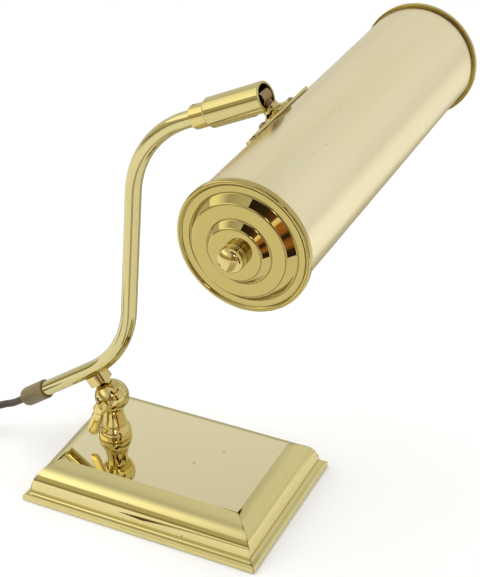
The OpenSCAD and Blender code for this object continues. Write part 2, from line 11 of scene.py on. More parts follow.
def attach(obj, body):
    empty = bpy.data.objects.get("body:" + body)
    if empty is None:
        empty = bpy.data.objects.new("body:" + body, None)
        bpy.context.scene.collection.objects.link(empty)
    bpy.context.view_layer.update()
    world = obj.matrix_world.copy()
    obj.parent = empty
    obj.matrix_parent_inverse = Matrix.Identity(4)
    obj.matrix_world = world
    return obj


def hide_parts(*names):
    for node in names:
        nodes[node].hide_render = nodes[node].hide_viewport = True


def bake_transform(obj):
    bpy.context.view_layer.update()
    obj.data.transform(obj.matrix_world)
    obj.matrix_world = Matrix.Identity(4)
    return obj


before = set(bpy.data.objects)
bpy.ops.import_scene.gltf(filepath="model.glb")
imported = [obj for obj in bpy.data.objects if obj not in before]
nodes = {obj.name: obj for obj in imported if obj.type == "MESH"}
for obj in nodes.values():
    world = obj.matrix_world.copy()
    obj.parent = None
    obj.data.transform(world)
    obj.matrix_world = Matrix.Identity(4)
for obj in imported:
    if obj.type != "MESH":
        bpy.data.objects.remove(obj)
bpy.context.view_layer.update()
scene = bpy.context.scene
MM = 0.001

# Driving sizes, in millimetres, as the CAD has them.
BASE_LEN = 200
BASE_WID = 136
BASE_TOP = 31.6
TOP_INSET = 24
LIP_TOP = 5.4
MOULD_LOW = 8
MOULD_INSET = 5.2
MOULD_TURN = 72
COVER_WALL = 1.2
COVER_LOW = 0.6
FELT_MARGIN = 2.5
FELT_H = 1.5

COLUMN_X = -53.5
BALL_Z = 69
BALL_R = 13.5
FOOT_R = 13.3
FOOT_H = 12.3
SLOT_W = 5.2

TUBE_R = 6
REAR_SLOPE = 35.5
RISER_SLOPE = 83.6
HEAD_SLOPE = 24.7
REAR_LEN = 100
RISER_LEN = 188
LOWER_BEND_R = 90
UPPER_BEND_R = 80
LOWER_CORNER = Vector((-36, 114))

COLLAR_START = 52
COLLAR_END = 64
HOUSING_START = 64.3
PIN_AT = 105.2
MOUTH_AT = 109.5
HOUSING_R = 10.5
BUSHING_R = 7.8
BUSHING_LEN = 27
BUSHING_LAP = 3

BRACKET_ANGLE = 141
SHADE_REACH = 57
SHEET_R = 41
SHEET_WALL = 0.8
BAND_FROM = 18
BAND_TURN = 33.5
OPEN_MID = 101
CAP_R = 43
SKIRT_LEN = 3
FRONT_REACH = 119
REAR_REACH = 178
CORD_R = 3
COIL_CENTRE = Vector((-232, -75))
COIL_OUTER = 48
COIL_INNER = 24


# ---------- frames ----------

def sin_of(degrees):
    return math.sin(math.radians(degrees))


def cos_of(degrees):
    return math.cos(math.radians(degrees))


def heading(degrees):
    """The direction at an angle from the first of two axes."""
    return Vector((cos_of(degrees), sin_of(degrees)))


def left_of(degrees):
    return heading(degrees + 90)


def frame_at(origin, x_axis, y_axis):
    """Matrix from millimetres in a local frame to metres in the lamp's frame."""
    x = Vector(x_axis).normalized()
    y = Vector(y_axis).normalized()
    z = x.cross(y)
    rows = [[x[i] * MM, y[i] * MM, z[i] * MM, origin[i]] for i in range(3)]
    return Matrix(rows + [[0, 0, 0, 1]])


def plane_frame(point, degrees):
    """Frame in the lamp's middle plane, with its X axis at an angle above the lamp's X axis."""
    direction = heading(degrees)
    return frame_at((point[0] * MM, 0, point[1] * MM), (direction[0], 0, direction[1]), (0, 1, 0))


UPPER_CORNER = LOWER_CORNER + RISER_LEN * heading(RISER_SLOPE)
REAR_END = LOWER_CORNER - REAR_LEN * heading(REAR_SLOPE)
PIN_POINT = UPPER_CORNER + PIN_AT * heading(HEAD_SLOPE)
SHADE_POINT = PIN_POINT + SHADE_REACH * heading(BRACKET_ANGLE - 180)
CORD_EXIT = REAR_END - (BUSHING_LEN - BUSHING_LAP) * heading(REAR_SLOPE)

LAMP = frame_at((0, 0, 0), (1, 0, 0), (0, 1, 0))
COLUMN = plane_frame((COLUMN_X, 0), 90)
REAR = plane_frame(REAR_END, REAR_SLOPE - 180)
HEAD = plane_frame(UPPER_CORNER, HEAD_SLOPE)
BRACKET = plane_frame(SHADE_POINT, BRACKET_ANGLE)
shade_x, shade_z = SHADE_POINT * MM
FRONT_CAP = frame_at((shade_x, -FRONT_REACH * MM, shade_z), (0, -1, 0), (1, 0, 0))
REAR_CAP = frame_at((shade_x, REAR_REACH * MM, shade_z), (0, 1, 0), (1, 0, 0))
SHADE = frame_at((shade_x, 0, shade_z), (1, 0, 0), (0, 1, 0))


# ---------- materials ----------

# Near-black brown: dirt on the base's joints, and painted shade in the caps' ring corners.
DIRT_AND_SHADE_DARK = (0.05, 0.03, 0.01)


def new_material(name):
    material = bpy.data.materials.new(name)
    material.use_nodes = True
    tree = material.node_tree
    shader = tree.nodes["Principled BSDF"]
    place = tree.nodes.new("ShaderNodeTexCoord").outputs["Object"]
    return material, tree, shader, place


def feed(shader, socket, value):
    """Links a value that changes over the surface to the shader's socket of that name."""
    shader.id_data.links.new(value, shader.inputs[socket])


def fix(node, socket, value):
    """Sets one value for the whole surface on the node's own socket."""
    node.inputs[socket].default_value = value


def noise_of(tree, place, scale, detail=3, stretch=None):
    """A noise texture's value, scale in lumps per metre."""
    if stretch:
        mapping = tree.nodes.new("ShaderNodeMapping")
        fix(mapping, "Scale", stretch)
        tree.links.new(place, mapping.inputs["Vector"])
        place = mapping.outputs["Vector"]
    texture = tree.nodes.new("ShaderNodeTexNoise")
    fix(texture, "Scale", scale)
    fix(texture, "Detail", detail)
    tree.links.new(place, texture.inputs["Vector"])
    return texture.outputs["Fac"]


def ramp(tree, value, stops):
    """Colours or greys along a value, from (place, colour) stops."""
    node = tree.nodes.new("ShaderNodeValToRGB")
    tree.links.new(value, node.inputs["Fac"])
    points = node.color_ramp.elements
    while len(points) < len(stops):
        points.new(0.5)
    for point, (at, colour) in zip(points, stops):
        point.position = at
        point.color = (*colour, 1) if hasattr(colour, "__len__") else (colour, colour, colour, 1)
    return node.outputs["Color"]


def mixed(tree, share, first, second):
    """From the first colour to the second, by their share from 0 to 1."""
    node = tree.nodes.new("ShaderNodeMix")
    node.data_type = "RGBA"
    for socket, value in ((node.inputs[0], share), (node.inputs[6], first), (node.inputs[7], second)):
        if isinstance(value, (int, float)):
            socket.default_value = value
        elif isinstance(value, tuple):
            socket.default_value = (*value, 1)
        else:
            tree.links.new(value, socket)
    return node.outputs[2]


def bump(tree, shader, height, depth, strength):
    node = tree.nodes.new("ShaderNodeBump")
    fix(node, "Distance", depth)
    fix(node, "Strength", strength)
    tree.links.new(height, node.inputs["Height"])
    feed(shader, "Normal", node.outputs["Normal"])


def maths(tree, kind, first, second=0.0):
    node = tree.nodes.new("ShaderNodeMath")
    node.operation = kind
    for socket, value in zip(node.inputs, (first, second)):
        if isinstance(value, (int, float)):
            socket.default_value = value
        else:
            tree.links.new(value, socket)
    return node.outputs[0]


def times(tree, first, second):
    return maths(tree, "MULTIPLY", first, second)


def minus(tree, first, second):
    return maths(tree, "SUBTRACT", first, second)


def axes(tree, place):
    """A place's three coordinates, as separate values."""
    split = tree.nodes.new("ShaderNodeSeparateXYZ")
    tree.links.new(place, split.inputs[0])
    return list(split.outputs)


def distance(tree, first, second):
    """The straight distance that two distances at right angles make."""
    squares = [maths(tree, "POWER", value, 2) for value in (first, second)]
    return maths(tree, "SQRT", maths(tree, "ADD", *squares))


def to_build_on(material):
    """A finished brass's tree, shader, coordinates and colour, for a further layer on top of it."""
    tree = material.node_tree
    shader = tree.nodes["Principled BSDF"]
    place = tree.nodes["Texture Coordinate"].outputs["Object"]
    return tree, shader, place, axes(tree, place), shader.inputs["Base Color"].links[0].from_socket


def brass(name, colour, deep, rough, wipe=0.012, specks=0.5):
    """Lacquered brass: faint wipe marks, a slow change of tone, small dark specks and a slight wave."""
    material, tree, shader, place = new_material(name)
    fix(shader, "Metallic", 1.0)
    tone = ramp(tree, noise_of(tree, place, 9, 4), [(0.35, 0.0), (0.7, 1.0)])
    base = mixed(tree, times(tree, tone, 0.35), colour, deep)
    freckle = ramp(tree, noise_of(tree, place, 260, 2), [(0.0, 0.0), (0.74, 0.0), (0.80, specks)])
    base = mixed(tree, freckle, base, (0.10, 0.06, 0.015))
    feed(shader, "Base Color", base)
    fine = noise_of(tree, place, 420, 4, (1.0, 0.12, 1.0))
    cloud = noise_of(tree, place, 30, 3)
    marks = times(tree, fine, cloud)
    rough_low = max(rough - wipe, 0.01)
    feed(shader, "Roughness", ramp(tree, marks, [(0.1, rough_low), (0.5, rough + wipe)]))
    bump(tree, shader, noise_of(tree, place, 22, 1), 0.002, 0.02)
    return material


def metal(name, colour, rough):
    """Turned or plated metal with fine machining lines."""
    material, tree, shader, place = new_material(name)
    fix(shader, "Metallic", 1.0)
    lines = noise_of(tree, place, 300, 3, (1, 1, 12))
    dark = tuple(0.7 * c for c in colour)
    feed(shader, "Base Color", mixed(tree, ramp(tree, lines, [(0.35, 0.0), (0.7, 1.0)]), colour, dark))
    feed(shader, "Roughness", ramp(tree, lines, [(0.3, rough * 0.7), (0.7, rough * 1.4)]))
    bump(tree, shader, lines, 0.00008, 0.4)
    return material


def plastic(name, colour, rough, grain=900):
    """Moulded plastic with a fine grain and a slightly lighter, uneven cloud in its tone."""
    material, tree, shader, place = new_material(name)
    worn = tuple(min(1, 1.35 * c + 0.01) for c in colour)
    cloud = ramp(tree, noise_of(tree, place, 60, 4), [(0.4, 0.0), (0.75, 1.0)])
    feed(shader, "Base Color", mixed(tree, cloud, colour, worn))
    feed(shader, "Roughness",
         ramp(tree, noise_of(tree, place, 150, 3), [(0.3, rough * 0.8), (0.7, rough * 1.25)]))
    fix(shader, "IOR", 1.5)
    bump(tree, shader, noise_of(tree, place, grain, 2), 0.06 * MM, 0.5)
    return material


def felt_material():
    material, tree, shader, place = new_material("felt")
    fibres = noise_of(tree, place, 1400, 5)
    feed(shader, "Base Color",
         ramp(tree, fibres, [(0.3, (0.008, 0.030, 0.016)), (0.7, (0.030, 0.085, 0.048))]))
    fix(shader, "Roughness", 0.95)
    fix(shader, "Sheen Weight", 0.4)
    bump(tree, shader, fibres, 0.0004, 0.8)
    return material


def iron_material():
    material, tree, shader, place = new_material("cast_iron")
    pits = noise_of(tree, place, 350, 6)
    feed(shader, "Base Color", ramp(tree, pits, [(0.35, (0.02, 0.018, 0.016)), (0.7, (0.07, 0.06, 0.055))]))
    fix(shader, "Metallic", 0.6)
    fix(shader, "Roughness", 0.6)
    bump(tree, shader, pits, 0.0006, 0.7)
    return material


def glass_material(name, tint, rough):
    """Clear blown glass with a faint streak from drawing the tube."""
    material, tree, shader, place = new_material(name)
    fix(shader, "Transmission Weight", 1.0)
    fix(shader, "IOR", 1.45)
    streak = noise_of(tree, place, 120, 2, (1, 0.05, 1))
    darker = tuple(0.96 * c for c in tint)
    feed(shader, "Base Color", mixed(tree, streak, tint, darker))
    feed(shader, "Roughness", ramp(tree, streak, [(0.3, rough), (0.7, rough + 0.03)]))
    return material


def cover_material(colour, deep, top):
    """The base's brass: a paler top and deeper, darker mouldings as painted light and shade, worn mitre
    joints with dirt beside them, and two faint spots.
    """
    material = brass("base_brass", colour, deep, 0.035, specks=0.6)
    tree, shader, place, (x, y, z), sides = to_build_on(material)
    below_top = maths(tree, "LESS_THAN", z, (BASE_TOP - 0.05) * MM)
    across = maths(tree, "ABSOLUTE", x)
    along = maths(tree, "ABSOLUTE", y)
    lead = (BASE_LEN - BASE_WID) / 2 * MM
    off = maths(tree, "ABSOLUTE", minus(tree, minus(tree, across, along), lead))
    joint = times(tree, maths(tree, "LESS_THAN", off, 0.45 * MM), below_top)
    beside = times(tree, maths(tree, "LESS_THAN", off, 2.5 * MM), below_top)
    wear = ramp(tree, noise_of(tree, place, 150, 3), [(0.42, 0.15), (0.6, 0.9)])
    pits = ramp(tree, noise_of(tree, place, 420, 2), [(0.0, 0.0), (0.66, 0.0), (0.7, 0.75)])
    dirt = maths(tree, "MAXIMUM", times(tree, joint, wear), times(tree, beside, pits))
    spot_r = 2.5 * MM
    for spot_x, spot_y in ((20, -6.5), (35, 15.3)):
        from_spot = distance(tree, minus(tree, x, spot_x * MM), minus(tree, y, spot_y * MM))
        spot = ramp(tree, times(tree, from_spot, 1 / spot_r), [(0.0, 0.38), (0.35, 0.30), (0.75, 0.0)])
        dirt = maths(tree, "MAXIMUM", dirt, spot)
    # Painted light and shade: the top gets a paler brass than the mouldings, for the lighter reflections it
    # shows.
    painted_top_and_sides = mixed(tree, below_top, top, sides)
    feed(shader, "Base Color", mixed(tree, dirt, painted_top_and_sides, DIRT_AND_SHADE_DARK))
    return material


def cap_material(colour, deep):
    """The caps' brass, with painted shade: thin dark lines in the corners of the rings."""
    material = brass("spun_brass", colour, deep, 0.03, specks=0.7)
    tree, shader, place, (x, y, z), old = to_build_on(material)
    radius = distance(tree, minus(tree, x, shade_x), minus(tree, z, shade_z))
    broken = ramp(tree, noise_of(tree, place, 45, 3), [(0.35, 0.35), (0.6, 1.0)])
    # Painted shade: thin dark rings where the cap's steps meet, broken up by noise.
    line = 0.0
    for at, strength in ((39.5, 0.75), (34.9, 0.45), (20.8, 0.45)):
        off = maths(tree, "ABSOLUTE", minus(tree, radius, at * MM))
        ring = times(tree, maths(tree, "LESS_THAN", off, 0.22 * MM), strength)
        line = maths(tree, "MAXIMUM", ring, line)
    ring_corner_shade = times(tree, line, broken)
    feed(shader, "Base Color", mixed(tree, ring_corner_shade, old, DIRT_AND_SHADE_DARK))
    return material


def housing_material(colour, deep):
    """The swivel housing's brass, rougher in its bore, with painted shade there as a dark brown."""
    material = brass("housing_brass", colour, deep, 0.04, specks=0.3)
    tree, shader, _, (x, y, z), old = to_build_on(material)
    corner = UPPER_CORNER * MM
    aside = left_of(HEAD_SLOPE)
    x_share = times(tree, minus(tree, x, corner[0]), aside[0])
    z_share = times(tree, minus(tree, z, corner[1]), aside[1])
    radius = distance(tree, maths(tree, "ADD", x_share, z_share), y)
    # Painted shade: the bore is painted dark brown; it is also made rougher.
    bore = maths(tree, "LESS_THAN", radius, (HOUSING_R - 1.7) * MM)
    feed(shader, "Base Color", mixed(tree, bore, old, (0.13, 0.075, 0.03)))
    smooth_metal = shader.inputs["Roughness"].links[0].from_socket
    feed(shader, "Roughness", mixed(tree, bore, smooth_metal, (0.4, 0.4, 0.4)))
    return material


def sheet_material(colour, deep):
    """The rolled sheet's satin brass, with warm streaks along it, and painted shade: a darker specular tint
    low on its side.
    """
    material = brass("satin_brass", colour, deep, 0.25, wipe=0.04, specks=0.35)
    tree, shader, place, (x, y, z), old = to_build_on(material)
    streaks = ramp(tree, noise_of(tree, place, 42, 3, (1.0, 0.07, 1.0)), [(0.48, 0.0), (0.72, 0.30)])
    feed(shader, "Base Color", mixed(tree, streaks, old, (0.80, 0.64, 0.36)))
    # Painted shade: the specular tint darkens towards the bottom of the sheet.
    up = maths(tree, "DIVIDE", minus(tree, z, shade_z - SHEET_R * MM), 2 * SHEET_R * MM)
    feed(shader, "Specular Tint", ramp(tree, up, [(0.15, (0.40, 0.37, 0.32)), (0.42, (0.84, 0.80, 0.74))]))
    return material


mat_brass = brass("polished_brass", (0.62, 0.545, 0.26), (0.56, 0.475, 0.20), 0.035)
mat_turned = brass("turned_brass", (0.66, 0.54, 0.21), (0.60, 0.46, 0.155), 0.04, specks=0.3)
mat_housing = housing_material((0.59, 0.51, 0.22), (0.53, 0.44, 0.165))
mat_aged = brass("aged_brass", (0.34, 0.24, 0.11), (0.22, 0.14, 0.06), 0.16, specks=0.8)
# Painted shade: the caps' brass is darker and deeper than the rest, for the dim reflections their flats show.
mat_cap_painted_dark = cap_material((0.51, 0.415, 0.142), (0.46, 0.365, 0.115))
mat_base = cover_material((0.72, 0.63, 0.29), (0.66, 0.56, 0.22), (0.82, 0.74, 0.455))
mat_sheet = sheet_material((0.88, 0.80, 0.53), (0.84, 0.74, 0.45))
mat_screw = brass("screw_brass", (0.78, 0.62, 0.24), (0.66, 0.48, 0.14), 0.09, specks=0.6)
mat_steel = metal("nickelled_steel", (0.60, 0.59, 0.56), 0.22)
mat_black = metal("black_screw", (0.03, 0.026, 0.022), 0.4)
mat_iron = iron_material()
mat_felt = felt_material()
mat_bushing = plastic("bushing_plastic", (0.165, 0.12, 0.044), 0.34)
mat_cord = plastic("cord_pvc", (0.060, 0.045, 0.027), 0.55, grain=500)
mat_plug = plastic("plug_plastic", (0.10, 0.075, 0.045), 0.34)
mat_tie = plastic("tie_plastic", (0.012, 0.011, 0.010), 0.5)
mat_bakelite = plastic("bakelite", (0.022, 0.012, 0.008), 0.2)
mat_glass = glass_material("bulb_glass", (0.97, 0.98, 0.96), 0.0)
mat_lead_glass = glass_material("lead_glass", (0.9, 0.92, 0.9), 0.08)


# ---------- shapes ----------

def walls(rows, count, closed=False):
    """Quads between rings of count points each. With closed, the last ring joins the first."""
    faces = []
    for i in range(rows if closed else rows - 1):
        j = (i + 1) % rows
        for k in range(count):
            m = (k + 1) % count
            faces.append([i * count + k, i * count + m, j * count + m, j * count + k])
    return faces


def lofted(rows):
    """A closed skin over rings of points, each with the same number of points."""
    count = len(rows[0])
    verts = [p for row in rows for p in row]
    first = list(reversed(range(count)))
    last = list(range(len(verts) - count, len(verts)))
    return verts, [first] + walls(len(rows), count) + [last]


def filleted(points, radius, steps=4):
    """The outline with each corner between its ends rounded."""
    out = [tuple(points[0])]
    for i in range(1, len(points) - 1):
        corner = Vector(points[i])
        back = Vector(points[i - 1]) - corner
        ahead = Vector(points[i + 1]) - corner
        if back.angle(ahead) > math.radians(160):
            out.append(tuple(corner))
            continue
        cut = min(radius, 0.45 * back.length, 0.45 * ahead.length)
        start = corner + back.normalized() * cut
        end = corner + ahead.normalized() * cut
        for k in range(steps + 1):
            t = k / steps
            out.append(tuple(start * (1 - t) ** 2 + corner * (2 * t * (1 - t)) + end * t * t))
    return out + [tuple(points[-1])]


def arc(centre, radius, start, end, steps):
    """Points on a circle, from one angle to another."""
    return [tuple(Vector(centre) + radius * heading(start + (end - start) * i / steps))
            for i in range(steps + 1)]


def lathe(profile, sides=128, ring=False):
    """A turned shape round the X axis, from (x, radius) points. With ring, the last point joins the first."""
    verts = []
    rows = []
    for x, r in profile:
        count = 1 if r < 1e-6 else sides
        rows.append([len(verts) + k for k in range(count)])
        for k in range(count):
            turn = 2 * math.pi * k / sides
            verts.append((x, r * math.cos(turn), r * math.sin(turn)))
    faces = []
    pairs = list(zip(rows, rows[1:])) + ([(rows[-1], rows[0])] if ring else [])
    for a, b in pairs:
        for k in range(sides):
            j = (k + 1) % sides
            corners = [a[k % len(a)], a[j % len(a)], b[j % len(b)], b[k % len(b)]]
            corners = list(dict.fromkeys(corners))
            if len(corners) > 2:
                faces.append(corners)
    return verts, faces


def swept(points, radii, sides, hint=(0, 0, 1)):
    """A round rod along the points, its ends closed. radii is one radius, or one for each point."""
    points = [Vector(p) for p in points]
    if not hasattr(radii, "__len__"):
        radii = [radii] * len(points)
    rows = []
    side = Vector(hint)
    for i, point in enumerate(points):
        ahead = (points[min(i + 1, len(points) - 1)] - points[max(i - 1, 0)]).normalized()
        side = (side - ahead * side.dot(ahead)).normalized()
        other = ahead.cross(side)
        turns = [2 * math.pi * k / sides for k in range(sides)]
        rows.append([point + radii[i] * (math.cos(a) * side + math.sin(a) * other) for a in turns])
    return lofted(rows)


def slab(outline, low, high, edge=0.4):
    """A flat plate: an outline in Y and Z, from X low to high, its top edge eased."""
    middle = sum((Vector(p) for p in outline), Vector((0, 0))) / len(outline)
    rows = []
    for x, inset in ((low, 0.0), (high - edge, 0.0), (high - 0.3 * edge, 0.3 * edge), (high, edge)):
        eased = [Vector(p) + (middle - Vector(p)).normalized() * inset for p in outline]
        rows.append([(x, *p) for p in eased])
    return lofted(rows)


def joined(*shapes):
    """Several shapes as one."""
    verts = []
    faces = []
    for part_verts, part_faces in shapes:
        start = len(verts)
        verts += [tuple(v) for v in part_verts]
        faces += [[start + k for k in face] for face in part_faces]
    return verts, faces


def moved(shape, place):
    """A shape's points in another frame, still in millimetres."""
    verts, faces = shape
    return [tuple(place @ Vector(v)) for v in verts], faces


def shade(obj, sharp):
    """Smooth shading, sharp where two faces meet at more than an angle."""
    obj.data.polygons.foreach_set("use_smooth", [True] * len(obj.data.polygons))
    obj.data.set_sharp_from_angle(angle=math.radians(sharp))


def smooth(obj, sharp=32):
    """Smooth shading with sharp edges, and flats kept flat."""
    shade(obj, sharp)
    weighted = obj.modifiers.new("flats", "WEIGHTED_NORMAL")
    weighted.keep_sharp = True
    weighted.weight = 60


def in_scene(name, data):
    obj = bpy.data.objects.new(name, data)
    scene.collection.objects.link(obj)
    return obj


def new_object(name, shape, place):
    mesh = bpy.data.meshes.new(name)
    mesh.from_pydata([tuple(v) for v in shape[0]], [], shape[1])
    mesh.transform(place)
    work = bmesh.new()
    work.from_mesh(mesh)
    bmesh.ops.recalc_face_normals(work, faces=work.faces)
    work.to_mesh(mesh)
    work.free()
    return in_scene(name, mesh)


def cut_away(obj, cutters):
    """Takes the cutters' shapes out of a piece, and removes them."""
    for cutter in cutters:
        cut = obj.modifiers.new("cut", "BOOLEAN")
        cut.operation = "DIFFERENCE"
        cut.solver = "EXACT"
        cut.object = cutter
    result = bpy.data.meshes.new_from_object(obj.evaluated_get(bpy.context.evaluated_depsgraph_get()))
    obj.modifiers.clear()
    obj.data = result
    for cutter in cutters:
        bpy.data.objects.remove(cutter)


def piece(name, shape, place, body, material, replaced, sharp=32, cutters=()):
    """A finished piece of the lamp, riding on its body and standing for its CAD nodes."""
    obj = new_object(name, shape, place)
    if cutters:
        cut_away(obj, [new_object(f"{name}_cutter", c, place) for c in cutters])
    obj.data.materials.clear()
    obj.data.materials.append(material)
    smooth(obj, sharp)
    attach(obj, body)
    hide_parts(*replaced)
    return obj


def block(low, high):
    """A box between two corners."""
    x0, y0, z0 = low
    x1, y1, z1 = high
    verts = [(x, y, z) for x in (x0, x1) for y in (y0, y1) for z in (z0, z1)]
    faces = [[0, 1, 3, 2], [4, 6, 7, 5], [0, 4, 5, 1], [2, 3, 7, 6], [0, 2, 6, 4], [1, 5, 7, 3]]
    return verts, faces


def cross_bar(radius, at, half, sides=64):
    """A round bar along Y, as far to each side as half, to cut a slot or a hole with."""
    return swept([(at, -half, 0), (at, half, 0)], radius, sides, hint=(1, 0, 0))


# ---------- camera ----------

VIEW_TARGET = Vector((-0.0089, 0.1369, 0.100))
VIEW_DISTANCE = 1.1748
VIEW_AZIMUTH = math.radians(27.135)
VIEW_ELEVATION = math.radians(32.063)
VIEW_ROLL = math.radians(-1.82)


def add_camera():
    back = Vector((math.sin(VIEW_AZIMUTH) * math.cos(VIEW_ELEVATION),
                   -math.cos(VIEW_AZIMUTH) * math.cos(VIEW_ELEVATION), math.sin(VIEW_ELEVATION)))
    level = Vector((0, 0, 1)).cross(back).normalized()
    up = back.cross(level)
    right = level * math.cos(VIEW_ROLL) + up * math.sin(VIEW_ROLL)
    up = back.cross(right)
    data = bpy.data.cameras.new("camera")
    data.lens = 88.63
    data.sensor_width = 36
    data.clip_start = 0.05
    data.clip_end = 20
    camera = in_scene("camera", data)
    place = VIEW_TARGET + back * VIEW_DISTANCE
    camera.matrix_world = Matrix([[right[i], up[i], back[i], place[i]] for i in range(3)] + [[0, 0, 0, 1]])
    scene.camera = camera


add_camera()


# ---------- cord ----------

LEAD_POINTS = [
    (CORD_EXIT[0], 0, CORD_EXIT[1]), (-149, 0, 33.5), (-160, -0.5, 28.5), (-170, -4, 24),
    (-177.5, -11, 18.5), (-182, -21, 12.5), (-183.8, -33, 7), (-184, -46, 4), (-184, -60, 3), (-184, -75, 3),
]
TAIL_POINTS = [
    (-182.5, -82, 9), (-181.5, -92, 9), (-185, -103, 8.6), (-193, -113.5, 7.4), (-204, -122, 5.8),
    (-217, -127.5, 4.2), (-231, -131, 3.2), (-245, -133, 3.2), (-258, -133, 5), (-270, -130, 7),
]


def curve_through(points, steps):
    """A smooth line through the points, with the given number of steps between neighbours."""
    points = [Vector(p) for p in points]
    ends = [2 * points[0] - points[1]] + points + [2 * points[-1] - points[-2]]
    line = []
    for a, b, c, d in zip(ends, ends[1:], ends[2:], ends[3:]):
        for k in range(steps):
            t = k / steps
            line.append(0.5 * (2 * b + (c - a) * t + (2 * a - 5 * b + 4 * c - d) * t * t
                               + (3 * b - 3 * c + d - a) * t ** 3))
    return line + [points[-1]]


def coil_points(per_turn=40):
    """Clockwise turns: four inwards on the table, a climb, and three outwards on top of them."""
    line = []
    inward = 4 * per_turn
    for i in range(1, inward + 1):
        line.append((-i / per_turn, COIL_OUTER - 2 * CORD_R * i / per_turn, CORD_R))
    outward = round(3.02 * per_turn)
    for i in range(1, outward - 1):
        turns = i / per_turn
        climb = min(1, turns / 0.25)
        rise = climb * climb * (3 - 2 * climb)
        late = max(0, (turns - 2.6) / 0.42)
        radius = COIL_INNER + 2 * CORD_R * turns + 8 * late * late * (3 - 2 * late)
        line.append((-4 - turns, min(radius, 50), CORD_R + 2 * CORD_R * rise))
    out = []
    for turns, radius, z in line:
        spot = COIL_CENTRE + radius * heading(360 * turns)
        out.append(Vector((spot[0], spot[1], z)))
    return out


cord_line = curve_through(LEAD_POINTS, 4) + coil_points() + curve_through(TAIL_POINTS, 4)
cord = new_object("power_cord", swept(cord_line, CORD_R, 20), LAMP)
cord.data.materials.append(mat_cord)
shade(cord, 50)
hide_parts("cord_lead", "cord_coil", "cord_tail")
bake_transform(cord)

last_step = Vector(TAIL_POINTS[-1]) - Vector(TAIL_POINTS[-2])
PLUG = frame_at((TAIL_POINTS[-1][0] * MM, TAIL_POINTS[-1][1] * MM, 7 * MM),
                (last_step[0], last_step[1], 0), (-last_step[1], last_step[0], 0))
PLUG_T = 13.6


def plug_shape():
    """Two-pin plug body as rounded sections: a neck that widens to a flat-faced grip."""
    half_t = PLUG_T / 2 - 0.3
    sections = [(0.1, 4.2, 4.2, 2), (1, 4.9, 4.9, 2), (6, 5.6, 5.4, 2.2), (10, 9.5, 5.9, 2.6),
                (13.5, 14, 6.3, 3.2), (17, 16.4, half_t, 4), (21, 17.2, half_t, 5), (27, 16.6, half_t, 5),
                (31, 16.8, half_t, 5), (33.2, 16.9, half_t, 5), (33.9, 16.3, half_t - 0.6, 5)]
    sides = 48
    rows = []
    for x, wide, thick, power in sections:
        row = []
        for k in range(sides):
            a = 2 * math.pi * k / sides
            y = math.copysign(abs(math.cos(a)) ** (2 / power), math.cos(a)) * wide
            z = math.copysign(abs(math.sin(a)) ** (2 / power), math.sin(a)) * thick
            row.append((x, y, z))
        rows.append(row)
    return lofted(rows)


def pin_shape(y):
    """Round plug pin with a domed tip."""
    tip = [(51 + 2 * math.sin(a / 10), 1.96 * math.cos(a / 10)) for a in range(2, 15, 3)]
    profile = [(33.5, 0), (33.5, 2), (50.5, 2)] + tip + [(52.9, 0)]
    return moved(lathe(profile, 32), Matrix.Translation((0, y, 0)))


plug = piece("plug", plug_shape(), PLUG, "base", mat_plug, ["plug_body"])
pins = piece("plug_contacts", joined(pin_shape(-9.5), pin_shape(9.5)), PLUG, "base", mat_steel, ["plug_pins"])


def tie_shape():
    """A strap round all the turns of the coil."""
    inner = COIL_INNER - CORD_R
    outer = COIL_OUTER + CORD_R
    path = [(inner - 0.4, 0.5), (inner - 0.4, 11.6), (inner + 0.6, 12.5), (outer - 7, 12.5),
            (outer - 4.6, 11), (outer - 1.4, 6.9), (outer + 0.4, 5.6), (outer + 0.45, 0.5)]
    path = filleted(path + [path[0]], 1.2)[:-1]
    middle = Vector(((inner + outer) / 2, 6))
    half = 3.9
    thick = 0.45
    verts = []
    for x, z in path:
        out = (Vector((x, z)) - middle).normalized()
        for y, lift in ((-half, 0.0), (half, 0.0), (half, thick), (-half, thick)):
            verts.append((x + out[0] * lift, y, max(z + out[1] * lift, 0.05)))
    return verts, walls(len(path), 4, closed=True)


tie_turn = heading(150)
TIE = frame_at((COIL_CENTRE[0] * MM, COIL_CENTRE[1] * MM, 0), (tie_turn[0], tie_turn[1], 0),
               (-tie_turn[1], tie_turn[0], 0))
tie = piece("coil_tie", tie_shape(), TIE, "base", mat_tie, ["cord_tie"])


# ---------- base ----------

def base_outline():
    """One side of the base as (inset, height), from the foot of the lip to the top's edge."""
    lip = [(0, COVER_LOW), (0, LIP_TOP - 2)]
    lip += [(2 - 2 * cos_of(a), LIP_TOP - 2 + 2 * sin_of(a)) for a in range(15, 91, 15)]
    lip += [(3.6, LIP_TOP), (MOULD_INSET - 0.4, MOULD_LOW - 0.6)]
    steps = 40
    wide = (TOP_INSET - MOULD_INSET) / (1 - cos_of(MOULD_TURN))
    tall = (BASE_TOP - MOULD_LOW) / sin_of(MOULD_TURN)
    turns = [math.radians(MOULD_TURN * i / steps) for i in range(steps + 1)]
    mould = [(MOULD_INSET + wide * (1 - math.cos(a)), MOULD_LOW + tall * math.sin(a)) for a in turns]
    return filleted(lip + mould[:1], 0.35, 3)[:-1] + mould


def base_cover():
    """Four mitred mouldings round a flat top, hollow below."""
    outside = base_outline()
    inside = [(inset + COVER_WALL, max(z - COVER_WALL, COVER_LOW)) for inset, z in reversed(outside)]
    rows = []
    for inset, z in inside + outside:
        x = BASE_LEN / 2 - inset
        y = BASE_WID / 2 - inset
        rows.append([(x, y, z), (-x, y, z), (-x, -y, z), (x, -y, z)])
    top_corner = 4 * len(rows) - 4
    obj = new_object("base_cover_brass", lofted(rows), LAMP)
    obj.data.materials.append(mat_base)
    shade(obj, 32)
    for edge in obj.data.edges:
        a, b = edge.vertices
        if a % 4 == b % 4 or min(a, b) >= top_corner:
            edge.use_edge_sharp = True
    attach(obj, "base")
    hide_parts("base_cover")
    return obj


base_cover()


